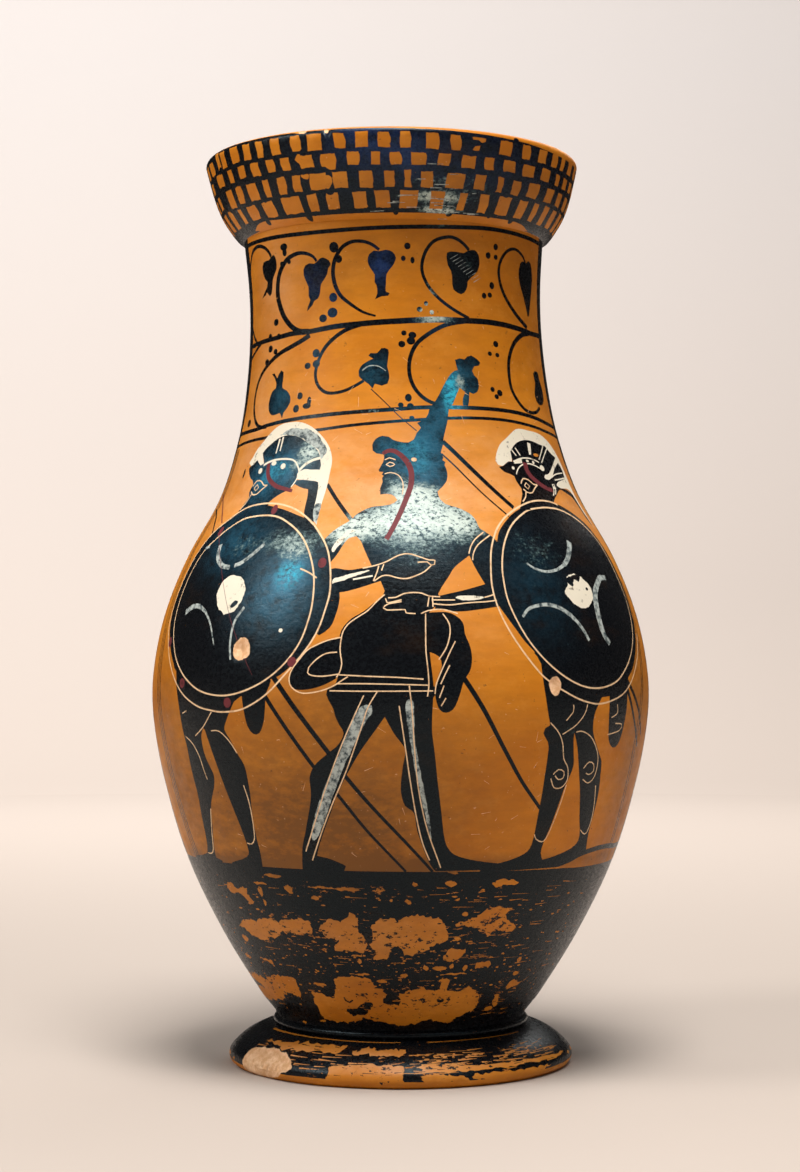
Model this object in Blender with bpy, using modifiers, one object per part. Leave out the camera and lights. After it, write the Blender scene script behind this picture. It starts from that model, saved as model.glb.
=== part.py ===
"""A one-handled black-figure wine jug with an echinus mouth, as its thrown sections.

The potter throws the foot, the lower and upper body, the neck and the mouth one by one.
Each section carries a low tenon that the next one laps over, with a collar of slip between
them, and a fillet of clay hides the seam at the foot. The strap handle is pulled and luted
on at the back. The painted front faces -Y, the handle is at +Y, and Z is up from the
resting plane. Lengths below are millimetres; the meshes are metres.
"""

import math

import bmesh
import bpy
from mathutils import Vector

MM = 0.001

# Driving dimensions
RIM_HEIGHT = 280.0
WALL = 4.6
SEGMENTS = 48
CLEARANCE = 0.3

# Radius and height down the outer wall, from the neck's top to the seam at the foot.
WALL_OUTLINE = [
    (46.6, 255.0),
    (45.5, 240.0),
    (45.6, 226.0),
    (47.2, 209.0),
    (50.0, 194.0),
    (56.0, 176.0),
    (66.5, 157.0),
    (73.6, 139.0),
    (77.1, 121.0),
    (77.0, 107.0),
    (73.6, 88.0),
    (66.4, 64.0),
    (55.4, 41.0),
    (43.4, 21.6),
    (39.0, 16.0),
    (38.0, 13.0),
]

# Heights of the three lap joints, and the shares of the wall that each lap uses
BELLY_JOINT = 113.0
NECK_JOINT = 194.6
MOUTH_JOINT = 255.0
LAP_HEIGHT = 4.5
TENON_WALL = 1.7
SLIP_WALL = 0.7

# Mouth: a deep echinus bowl whose lower edge stands proud of the neck
MOUTH_SKIRT = (47.9, MOUTH_JOINT)
MOUTH_OUTLINE = [
    (48.1, 255.6),
    (50.7, 258.8),
    (53.4, 263.2),
    (55.4, 268.4),
    (57.0, 274.4),
    (57.9, 278.2),
]
RIM_ROUND = 1.8
MOUTH_INNER_OUTLINE = [
    (53.4, 278.6),
    (52.0, 273.6),
    (49.2, 267.6),
    (45.2, 262.6),
]

# Body floor, and the boss under it that centres the foot
FLOOR_TOP = 19.0
BODY_BASE = 12.6
BOSS_RADIUS = 28.0
BOSS_DEPTH = 2.2

# Foot: a disc with a rounded edge and a hollow underside
FOOT_TOP = BODY_BASE - CLEARANCE
FOOT_RADIUS = 53.5
FOOT_REST_OUTER = 51.4
FOOT_REST_INNER = 45.0
FOOT_HOLLOW_HEIGHT = 5.0
FOOT_SLOPE = [(41.0, 12.0), (45.0, 10.7), (48.8, 8.6)]
FOOT_EDGE = [(51.7, 6.1), (53.2, 4.2), (FOOT_RADIUS, 2.4), (52.7, 0.7)]

# Fillet bead that covers the seam between body and foot
FILLET_INNER = 38.4
FILLET_RADIUS = 1.0

# The neck leans a little to the left of the foot's axis above this height.
LEAN_START = 170.0
LEAN_SLOPE = 0.026

# Strap handle: its centre line at the back, as distance from the axis and height
HANDLE_WIDTH = 17.0
HANDLE_THICKNESS = 7.4
HANDLE_RIB = 0.9
HANDLE_FLARE = 0.35
HANDLE_STEPS = 3
STRAP_SIDES = 16
HANDLE_PATH = [
    (48.0, 264.0),
    (57.0, 270.6),
    (64.8, 270.6),
    (69.6, 264.0),
    (71.6, 252.0),
    (71.8, 236.0),
    (70.4, 219.0),
    (66.6, 202.0),
    (60.4, 187.0),
    (50.0, 171.0),
]

GLOSS = {"color": (0.012, 0.012, 0.014, 1.0), "roughness": 0.28}
CLAY = {"color": (0.62, 0.24, 0.06, 1.0), "roughness": 0.55}
SLIP = {"color": (0.52, 0.22, 0.08, 1.0), "roughness": 0.8}


def clear_scene():
    for obj in list(bpy.data.objects):
        bpy.data.objects.remove(obj, do_unlink=True)


def new_collection(name):
    collection = bpy.data.collections.new(name)
    bpy.context.scene.collection.children.link(collection)
    return collection


def make_material(name, look):
    material = bpy.data.materials.new(name)
    material.use_nodes = True
    shader = material.node_tree.nodes["Principled BSDF"]
    shader.inputs["Base Color"].default_value = look["color"]
    shader.inputs["Roughness"].default_value = look["roughness"]
    shader.inputs["Metallic"].default_value = 0.0
    return material


def lean_at(height):
    """Sideways shift of the vessel's axis at a height."""
    return -LEAN_SLOPE * max(0.0, height - LEAN_START)


def slopes(points):
    """Change of radius with height at each outline point, for a smooth curve through them."""
    found = []
    for i in range(len(points)):
        before = points[max(i - 1, 0)]
        after = points[min(i + 1, len(points) - 1)]
        found.append((after[0] - before[0]) / (after[1] - before[1]))
    return found


OUTLINE_SLOPES = slopes(WALL_OUTLINE)


def outer_wall(height):
    """(radius, slope) of the outer wall at a height, on a cubic curve through the outline."""
    last = len(WALL_OUTLINE) - 2
    i = 0
    while i < last and height < WALL_OUTLINE[i + 1][1]:
        i += 1
    (r0, z0), (r1, z1) = WALL_OUTLINE[i], WALL_OUTLINE[i + 1]
    m0, m1 = OUTLINE_SLOPES[i], OUTLINE_SLOPES[i + 1]
    span = z1 - z0
    t = (height - z0) / span
    radius = (
        (2 * t**3 - 3 * t**2 + 1) * r0
        + (t**3 - 2 * t**2 + t) * span * m0
        + (3 * t**2 - 2 * t**3) * r1
        + (t**3 - t**2) * span * m1
    )
    slope = (
        (6 * t**2 - 6 * t) * (r0 - r1) / span
        + (3 * t**2 - 4 * t + 1) * m0
        + (3 * t**2 - 2 * t) * m1
    )
    return radius, slope


def outer_radius(height):
    return outer_wall(height)[0]


def inner_radius(height):
    """Radius of the inner wall, WALL thick square to the surface."""
    radius, slope = outer_wall(height)
    return radius - WALL * math.sqrt(1 + slope**2)


def levels(top, bottom, count):
    """Heights from top to bottom, both included, in equal steps."""
    return [top + (bottom - top) * i / count for i in range(count + 1)]


def tenon_face(height):
    return inner_radius(height) + TENON_WALL


def socket_face(height):
    return tenon_face(height) + 2 * CLEARANCE + SLIP_WALL


def upper_end(joint):
    """Outline points of a section's upper end at a lap joint, from the outside inwards."""
    shoulder = joint - CLEARANCE / 2
    tip = joint + LAP_HEIGHT - CLEARANCE
    return [
        (outer_radius(shoulder), shoulder),
        (tenon_face(shoulder), shoulder),
        (tenon_face(tip), tip),
        (inner_radius(tip), tip),
    ]


def lower_end(joint):
    """Outline points of a section's lower end at a lap joint, from the inside outwards."""
    skirt = joint + CLEARANCE / 2
    ceiling = joint + LAP_HEIGHT
    return [
        (inner_radius(ceiling), ceiling),
        (socket_face(ceiling), ceiling),
        (socket_face(skirt), skirt),
        (outer_radius(skirt), skirt),
    ]


def wall_section(top_joint, bottom_joint, steps):
    """Closed outline of a wall section between two lap joints, down the outside first."""
    top = upper_end(top_joint)
    bottom = lower_end(bottom_joint)
    outside = [
        (outer_radius(z), z) for z in levels(top[0][1], bottom[-1][1], steps)[1:-1]
    ]
    inside = [
        (inner_radius(z), z) for z in levels(bottom[0][1], top[-1][1], steps)[1:-1]
    ]
    return [top[0], *outside, *reversed(bottom), *inside, *reversed(top[1:])]


def slip_collar(joint):
    """Closed outline of the collar of slip between a tenon and the wall that laps it."""
    low = joint + CLEARANCE / 2
    high = joint + LAP_HEIGHT - CLEARANCE
    near = CLEARANCE
    far = CLEARANCE + SLIP_WALL
    return [
        (tenon_face(high) + far, high),
        (tenon_face(low) + far, low),
        (tenon_face(low) + near, low),
        (tenon_face(high) + near, high),
    ]


def arc(centre, radius, start, end, count):
    """Points on a circular arc, angles in degrees, both ends included."""
    points = []
    for i in range(count + 1):
        angle = math.radians(start + (end - start) * i / count)
        points.append(
            (centre[0] + radius * math.cos(angle), centre[1] + radius * math.sin(angle))
        )
    return points


def mouth_outline():
    rim_centre = (MOUTH_OUTLINE[-1][0] - RIM_ROUND, RIM_HEIGHT - RIM_ROUND)
    rim = arc(rim_centre, RIM_ROUND, 0, 90, 4)
    outside = list(reversed(MOUTH_OUTLINE[:-1]))
    seat = lower_end(MOUTH_JOINT)
    inner = list(reversed(MOUTH_INNER_OUTLINE))
    skirt = (MOUTH_SKIRT[0], seat[2][1])
    return [*reversed(rim), *outside, skirt, seat[2], seat[1], seat[0], *inner]


def lower_body_outline():
    """Open outline from the axis, over the tenon and down the outside to the boss."""
    top = upper_end(BELLY_JOINT)
    floor = [(0.0, FLOOR_TOP), (16.0, FLOOR_TOP + 0.4), (29.0, FLOOR_TOP + 3.0)]
    inside = [(inner_radius(z), z) for z in levels(29.0, top[-1][1], 9)[:-1]]
    outside = [(outer_radius(z), z) for z in levels(top[0][1], 21.0, 10)[1:]]
    base = [
        (outer_radius(16.0), 16.0),
        (38.0, BODY_BASE),
        (BOSS_RADIUS, BODY_BASE),
        (BOSS_RADIUS, BODY_BASE - BOSS_DEPTH),
        (0.0, BODY_BASE - BOSS_DEPTH),
    ]
    return [*floor, *inside, *reversed(top), *outside, *base]


def foot_outline():
    """Open outline from the axis, over the top and edge and back under the hollow."""
    recess_radius = BOSS_RADIUS + CLEARANCE
    recess_floor = BODY_BASE - BOSS_DEPTH - SLIP_WALL - 2 * CLEARANCE
    hollow = [
        (40.0, 3.2),
        (33.0, FOOT_HOLLOW_HEIGHT - 0.6),
        (20.0, FOOT_HOLLOW_HEIGHT),
        (0.0, FOOT_HOLLOW_HEIGHT),
    ]
    return [
        (0.0, recess_floor),
        (recess_radius, recess_floor),
        (recess_radius, FOOT_TOP),
        (38.0, FOOT_TOP),
        *FOOT_SLOPE,
        *FOOT_EDGE,
        (FOOT_REST_OUTER, 0.0),
        (FOOT_REST_INNER, 0.0),
        *hollow,
    ]


def foot_slip_outline():
    """Open outline of the disc of slip that beds the body's boss in the foot."""
    top = BODY_BASE - BOSS_DEPTH - CLEARANCE
    radius = BOSS_RADIUS - CLEARANCE
    return [(0.0, top), (radius, top), (radius, top - SLIP_WALL), (0.0, top - SLIP_WALL)]


def fillet_outline():
    centre = (FILLET_INNER + FILLET_RADIUS, BODY_BASE + FILLET_RADIUS)
    return arc(centre, FILLET_RADIUS, 90, -270, 8)[:-1]


def turned(name, outline, closed, collection, material):
    """One section: an outline turned about the Z axis, with the neck's lean put in."""
    mesh = bpy.data.meshes.new(name)
    vertices = [(radius * MM, 0.0, height * MM) for radius, height in outline]
    count = len(vertices)
    edges = [(i, (i + 1) % count) for i in range(count if closed else count - 1)]
    mesh.from_pydata(vertices, edges, [])
    profile = bpy.data.objects.new(name, mesh)
    collection.objects.link(profile)
    screw = profile.modifiers.new("turn", "SCREW")
    screw.steps = SEGMENTS
    screw.render_steps = SEGMENTS
    screw.use_merge_vertices = True
    screw.merge_threshold = 0.00001
    screw.use_smooth_shade = True
    bpy.context.view_layer.update()
    graph = bpy.context.evaluated_depsgraph_get()
    solid = bpy.data.meshes.new_from_object(profile.evaluated_get(graph))
    bpy.data.objects.remove(profile)
    for vertex in solid.vertices:
        vertex.co.x += lean_at(vertex.co.z / MM) * MM
    section = bpy.data.objects.new(name, solid)
    collection.objects.link(section)
    finish_mesh(section, material)
    return section


def finish_mesh(obj, material):
    """Faces out, smooth with sharp edges kept, and the part's material."""
    work = bmesh.new()
    work.from_mesh(obj.data)
    bmesh.ops.remove_doubles(work, verts=work.verts, dist=0.000005)
    bmesh.ops.recalc_face_normals(work, faces=work.faces)
    work.to_mesh(obj.data)
    work.free()
    obj.data.shade_smooth()
    obj.data.set_sharp_from_angle(angle=math.radians(35))
    obj.data.materials.clear()
    obj.data.materials.append(material)


def strap_section(width, thickness):
    """Flat oval around the strap's centre line, as (across, outwards), with a low rib."""
    points = []
    for i in range(STRAP_SIDES):
        angle = 2 * math.pi * i / STRAP_SIDES
        cosine = math.cos(angle)
        sine = math.sin(angle)
        across = width / 2 * math.copysign(abs(cosine) ** 0.8, cosine)
        outwards = thickness / 2 * math.copysign(abs(sine) ** 0.8, sine)
        if outwards > 0:
            outwards += HANDLE_RIB * max(0.0, 1 - abs(across) / 3.5)
        points.append((across, outwards))
    return points


def strap_path():
    """Points and directions along the handle's centre line, as (distance out, height)."""
    path = [Vector(point) for point in HANDLE_PATH]
    stations = []
    for i in range(len(path) - 1):
        before = path[max(i - 1, 0)]
        after = path[min(i + 2, len(path) - 1)]
        start, end = path[i], path[i + 1]
        leave = (end - before) / 2
        arrive = (after - start) / 2
        for step in range(HANDLE_STEPS):
            t = step / HANDLE_STEPS
            point = (
                (2 * t**3 - 3 * t**2 + 1) * start
                + (t**3 - 2 * t**2 + t) * leave
                + (3 * t**2 - 2 * t**3) * end
                + (t**3 - t**2) * arrive
            )
            stations.append(point)
    stations.append(path[-1])
    directions = []
    for i in range(len(stations)):
        ahead = stations[min(i + 1, len(stations) - 1)] - stations[max(i - 1, 0)]
        directions.append(ahead.normalized())
    return list(zip(stations, directions))


def handle_blank(collection, material):
    """The strap lofted along its path, running on into the vessel at both ends."""
    work = bmesh.new()
    stations = strap_path()
    rings = []
    for i, (point, direction) in enumerate(stations):
        share = i / (len(stations) - 1)
        flare = 1 + HANDLE_FLARE * abs(2 * share - 1) ** 4
        section = strap_section(HANDLE_WIDTH * flare, HANDLE_THICKNESS)
        ring = []
        for across, outwards in section:
            out = point.x - direction.y * outwards
            height = point.y + direction.x * outwards
            place = Vector((across + lean_at(height), out, height)) * MM
            ring.append(work.verts.new(place))
        rings.append(ring)
    for near, far in zip(rings, rings[1:]):
        for i in range(STRAP_SIDES):
            j = (i + 1) % STRAP_SIDES
            work.faces.new((near[i], near[j], far[j], far[i]))
    work.faces.new(rings[0])
    work.faces.new(rings[-1])
    mesh = bpy.data.meshes.new("handle")
    work.to_mesh(mesh)
    work.free()
    blank = bpy.data.objects.new("handle", mesh)
    collection.objects.link(blank)
    finish_mesh(blank, material)
    return blank


def vessel_envelope(collection):
    """The outer shape of the neck and mouth grown by the clearance, to cut the handle's ends."""
    grow = CLEARANCE + 0.1
    mouth = [(r + grow, z) for r, z in reversed(MOUTH_OUTLINE)]
    skirt = [(MOUTH_SKIRT[0] + grow, MOUTH_JOINT - grow)]
    wall = [(outer_radius(z) + grow, z) for z in levels(253.0, 160.0, 20)]
    outline = [
        (0.0, RIM_HEIGHT + 10),
        (mouth[0][0], RIM_HEIGHT + 10),
        *mouth,
        *skirt,
        *wall,
        (0.0, wall[-1][1]),
    ]
    envelope = turned("vessel_envelope", outline, False, collection, None)
    envelope.hide_render = True
    envelope.display_type = "WIRE"
    return envelope


def make_handle(collection, cutters, material):
    handle = handle_blank(collection, material)
    cut = handle.modifiers.new("seat", "BOOLEAN")
    cut.operation = "DIFFERENCE"
    cut.solver = "EXACT"
    cut.object = vessel_envelope(cutters)


def main():
    clear_scene()
    parts = new_collection("black_figure_jug")
    cutters = new_collection("cutters")
    gloss = make_material("black_gloss", GLOSS)
    clay = make_material("orange_clay", CLAY)
    slip = make_material("joint_slip", SLIP)
    sections = [
        ("mouth", mouth_outline(), True, clay),
        ("mouth_joint_slip", slip_collar(MOUTH_JOINT), True, slip),
        ("neck", wall_section(MOUTH_JOINT, NECK_JOINT, 8), True, clay),
        ("neck_joint_slip", slip_collar(NECK_JOINT), True, slip),
        ("upper_body", wall_section(NECK_JOINT, BELLY_JOINT, 11), True, clay),
        ("belly_joint_slip", slip_collar(BELLY_JOINT), True, slip),
        ("lower_body", lower_body_outline(), False, gloss),
        ("foot_fillet", fillet_outline(), True, gloss),
        ("foot_joint_slip", foot_slip_outline(), False, slip),
        ("foot", foot_outline(), False, gloss),
    ]
    for name, outline, closed, material in sections:
        turned(name, outline, closed, parts, material)
    make_handle(parts, cutters, gloss)


main()
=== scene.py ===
"""Looks of the black-figure wine jug: its painted skin, gloss, wear, light and camera.

The paint is laid out on the unrolled wall. A place there is (angle, height): degrees round
the vessel from the painted front, growing to the viewer's right, and millimetres above the
resting plane. One constrained triangulation of all the painted outlines gives a skin whose
faces are the colours themselves, which is then wrapped onto the turned wall.
"""

import math
import random

import bpy
import numpy as np
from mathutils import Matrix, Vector, noise
from mathutils.geometry import delaunay_2d_cdt


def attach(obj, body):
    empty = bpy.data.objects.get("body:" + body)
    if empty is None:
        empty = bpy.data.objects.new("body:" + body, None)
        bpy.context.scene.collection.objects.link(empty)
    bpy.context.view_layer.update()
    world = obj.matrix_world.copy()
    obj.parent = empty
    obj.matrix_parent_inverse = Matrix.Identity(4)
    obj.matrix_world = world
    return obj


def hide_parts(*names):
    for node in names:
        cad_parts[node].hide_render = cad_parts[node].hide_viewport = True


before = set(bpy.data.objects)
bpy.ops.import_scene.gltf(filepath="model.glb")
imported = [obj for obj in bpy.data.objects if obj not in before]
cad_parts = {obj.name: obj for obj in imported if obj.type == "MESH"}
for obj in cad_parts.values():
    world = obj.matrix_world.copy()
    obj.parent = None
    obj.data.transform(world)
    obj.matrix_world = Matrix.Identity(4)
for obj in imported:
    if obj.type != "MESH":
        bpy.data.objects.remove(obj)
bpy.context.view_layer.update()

# Vector noise starts from the clock unless it is given a seed
noise.seed_set(3)

MM = 0.001

# ---------------------------------------------------------------- sizes, in millimetres

RIM_HEIGHT = 280.0
RIM_ROUND = 1.8
RIM_START = RIM_HEIGHT - RIM_ROUND
RIM_END = RIM_START + RIM_ROUND * math.pi / 2
MOUTH_JOINT = 255.0
NECK_JOINT = 194.6
BELLY_JOINT = 113.0
FOOT_TOP = 12.45
WALL = 4.6
LEAN_START = 170.0
LEAN_SLOPE = 0.026

# Outlines as the CAD model has them: (radius, height)
WALL_OUTLINE = [
    (46.6, 255.0), (45.5, 240.0), (45.6, 226.0), (47.2, 209.0), (50.0, 194.0), (56.0, 176.0),
    (66.5, 157.0), (73.6, 139.0), (77.1, 121.0), (77.0, 107.0), (73.6, 88.0), (66.4, 64.0),
    (55.4, 41.0), (43.4, 21.6), (39.0, 16.0), (38.0, 13.0),
]
MOUTH_OUTLINE = [
    (57.9, 278.2), (57.0, 274.4), (55.4, 268.4), (53.4, 263.2), (50.7, 258.8), (48.6, 256.2),
    (47.2, 255.3), (46.65, 255.0),
]
FOOT_OUTLINE = [
    (38.0, 12.3), (41.0, 12.0), (45.0, 10.7), (48.8, 8.6), (51.7, 6.1), (53.2, 4.2),
    (53.5, 2.4), (52.7, 0.7), (51.4, 0.0),
]
MOUTH_INSIDE = [
    (56.1, RIM_HEIGHT), (54.6, 279.6), (53.4, 278.6), (52.0, 273.6), (49.2, 267.6),
    (45.2, 262.6), (42.6, 259.6), (42.1, MOUTH_JOINT),
]
FLOOR_START = 29.0
INNER_FLOOR = [(36.5, 25.0), (29.0, 22.0), (16.0, 19.4), (0.01, 19.0)]
FOOT_UNDERSIDE = [
    (51.4, 0.0), (45.0, 0.0), (44.2, 0.5), (40.0, 3.2), (33.0, 4.4), (20.0, 5.0), (0.01, 5.0),
]

# The handle's middle line, as (distance behind the axis, height)
HANDLE_PATH = [
    (51.0, 266.8), (57.0, 270.6), (64.8, 270.6), (69.6, 264.0), (71.6, 252.0), (71.8, 236.0),
    (70.4, 219.0), (66.6, 202.0), (60.4, 187.0), (54.6, 177.6),
]
HANDLE_WIDTH = 17.0
HANDLE_THICKNESS = 7.4
RIB_HEIGHT = 0.9
RIB_HALF_WIDTH = 2.2

FILLET_RADIUS = 38.75
FILLET_ROUND = 1.05
FILLET_HEIGHT = 13.5

# ---------------------------------------------------------------- how finely it is drawn

# Spacing of the points along a plain outline, a frayed one and a stroke, in millimetres
PLAIN_PITCH = 1.3
FRAYED_PITCH = 0.5
STROKE_PITCH = 1.0
MOST_STEPS = 12
DOT_SIDES = 12

# The layers of noise that fray an edge: how fine, seed shift, share of the fraying
FRAY_LAYERS = ((0.45, 0, 1.0), (1.3, 7, 0.6), (3.1, 9, 0.4))

# The skin's grid: millimetres that a degree takes on the flat drawing, degrees between
# columns, and millimetres between rows, which are closer in the bands that bend tightly
PLANE_SCALE = 1.25
COLUMN = 1.5
ROW = 2.0
FINE_ROW = 0.55
FINE_BANDS = ((-1, 14), (255, 262), (277, 282))

# How far rows stay from the sections' edges, and paint from the skin's ends. Places nearer
# than the smallest gap are joined, and points at a section's edge count as just inside it.
ROW_CLEARANCE = 0.25
PAINT_CLEARANCE = 0.05
SMALLEST_GAP = 0.0005
JUST_INSIDE = 1e-4

# Points round the turned insides, the stage and the handle, and steps of the handle's path
RING_SIDES = 240
STAGE_SIDES = 96
HANDLE_SIDES = 48
HANDLE_STEPS = 8

# ---------------------------------------------------------------- stage and camera, in metres

# The floor's paint is warmer and darker than the wall's: painted shade low down
FLOOR_PAINT = (0.50, 0.43, 0.38)
WALL_PAINT = (0.50, 0.465, 0.445)
FLOOR_REACH = 1.4
COVE = 1.0
COVE_STEPS = 16
WALL_TOP = 3.6
CAMERA_PLACE = (0.0, -0.7435, 0.1279)
CAMERA_LENS = 72.83
CAMERA_SENSOR = 36.0
CAMERA_SHIFT = (-0.0005, 0.0555)

CLAY, GLOSS, CREAM, FADED, RED, INCISED, CHIP = range(7)


# ---------------------------------------------------------------- the wall's shape


def lean_at(height):
    """How far the vessel's axis has moved to the right at a height: less than 0 is left."""
    return -LEAN_SLOPE * max(0.0, height - LEAN_START)


def cubic_weights(t):
    """Weights of start, slope at start, end and slope at end, a share t along a cubic."""
    return (
        2 * t**3 - 3 * t**2 + 1,
        t**3 - 2 * t**2 + t,
        3 * t**2 - 2 * t**3,
        t**3 - t**2,
    )


def on_outline(outline, height):
    """(radius, slope) on a curve through an outline that runs down, held at its ends."""
    last = len(outline) - 2
    i = 0
    while i < last and height < outline[i + 1][1]:
        i += 1

    def slope(j):
        before = outline[max(j - 1, 0)]
        after = outline[min(j + 1, len(outline) - 1)]
        return (after[0] - before[0]) / (after[1] - before[1])

    (r0, z0), (r1, z1) = outline[i], outline[i + 1]
    m0, m1 = slope(i), slope(i + 1)
    span = z1 - z0
    t = min(max((height - z0) / span, 0.0), 1.0)
    start, leave, end, arrive = cubic_weights(t)
    radius = start * r0 + leave * span * m0 + end * r1 + arrive * span * m1
    steep = (
        (6 * t**2 - 6 * t) * (r0 - r1) / span
        + (3 * t**2 - 4 * t + 1) * m0
        + (3 * t**2 - 2 * t) * m1
    )
    return radius, steep


def inner_radius(height):
    radius, slope = on_outline(WALL_OUTLINE, height)
    return radius - WALL * math.sqrt(1 + slope**2)


def skin_point(level):
    """(radius, height, outward and upward part of the normal) of the painted skin."""
    if level >= RIM_START:
        angle = (level - RIM_START) / RIM_ROUND
        centre = MOUTH_OUTLINE[0][0] - RIM_ROUND
        out, up = math.cos(angle), math.sin(angle)
        return centre + RIM_ROUND * out, RIM_START + RIM_ROUND * up, out, up
    if level >= MOUTH_JOINT:
        radius, slope = on_outline(MOUTH_OUTLINE, level)
    elif level > FOOT_TOP:
        radius, slope = on_outline(WALL_OUTLINE, level)
    else:
        radius, slope = on_outline(FOOT_OUTLINE, level)
    length = math.hypot(1.0, slope)
    return radius, level, 1 / length, -slope / length


def girth_scale(height):
    """Millimetres round the wall for one degree."""
    return skin_point(min(height, RIM_START))[0] * math.pi / 180


# ---------------------------------------------------------------- outlines and strokes

PAINT = []


def smooth(points, closed, pitch):
    """A curve through the points. A third value of 0 makes a sharp corner of a point."""
    count = len(points)
    found = []
    for i in range(count if closed else count - 1):
        p0 = points[i]
        p1 = points[(i + 1) % count]
        before = points[(i - 1) % count] if closed or i > 0 else p0
        after = points[(i + 2) % count] if closed or i + 2 < count else p1
        if len(p0) > 2:
            before = p0
        if len(p1) > 2:
            after = p1
        length = math.hypot((p1[0] - p0[0]) * girth_scale(p0[1]), p1[1] - p0[1])
        steps = max(1, min(MOST_STEPS, round(length / pitch)))
        for step in range(steps):
            start, leave, end, arrive = cubic_weights(step / steps)
            place = []
            for k in (0, 1):
                m0 = (p1[k] - before[k]) / 2
                m1 = (after[k] - p0[k]) / 2
                place.append(start * p0[k] + leave * m0 + end * p1[k] + arrive * m1)
            found.append(tuple(place))
    if not closed:
        found.append(tuple(points[-1][:2]))
    return found


def fray(outline, rough, seed):
    """Moves the points of an outline by up to about rough millimetres."""
    frayed = []
    for a, z in outline:
        scale = girth_scale(z)
        shift = Vector((0.0, 0.0, 0.0))
        for finer, layer, share in FRAY_LAYERS:
            spot = Vector((a * scale * finer, z * finer, seed + layer))
            shift += noise.noise_vector(spot) * rough * share
        frayed.append((a + shift.x / scale, z + shift.y))
    return frayed


def area(colour, *points, rough=0.0, seed=0):
    """A filled outline. rough frays its edge by about that many millimetres."""
    outline = smooth(points, True, FRAYED_PITCH if rough else PLAIN_PITCH)
    if rough:
        outline = fray(outline, rough, seed)
    PAINT.append((colour, [outline]))


def line(colour, width, *points, end=None):
    """A brush stroke or a cut line, width in millimetres, thinning to end if that is given."""
    path = smooth(points, False, STROKE_PITCH)
    last_width = width if end is None else end
    sides = []
    for i, (a, z) in enumerate(path):
        scale = girth_scale(z)
        a0, z0 = path[max(i - 1, 0)]
        a1, z1 = path[min(i + 1, len(path) - 1)]
        along = Vector(((a1 - a0) * scale, z1 - z0))
        along = along.normalized() if along.length else Vector((1, 0))
        share = i / max(len(path) - 1, 1)
        half = (width + (last_width - width) * share) / 2
        across, up = along.y * half / scale, along.x * half
        sides.append(((a - across, z + up), (a + across, z - up)))
    quads = [[p, q, s, r] for (p, q), (r, s) in zip(sides, sides[1:])]
    PAINT.append((colour, quads))


def dot(colour, a, z, across, up=None):
    """An oval, its half width in degrees and its half height in millimetres."""
    if up is None:
        up = across * girth_scale(z)
    ring = []
    for i in range(DOT_SIDES):
        turn = 2 * math.pi * i / DOT_SIDES
        ring.append((a + across * math.cos(turn), z + up * math.sin(turn)))
    PAINT.append((colour, [ring]))


# ---------------------------------------------------------------- the painting


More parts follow.
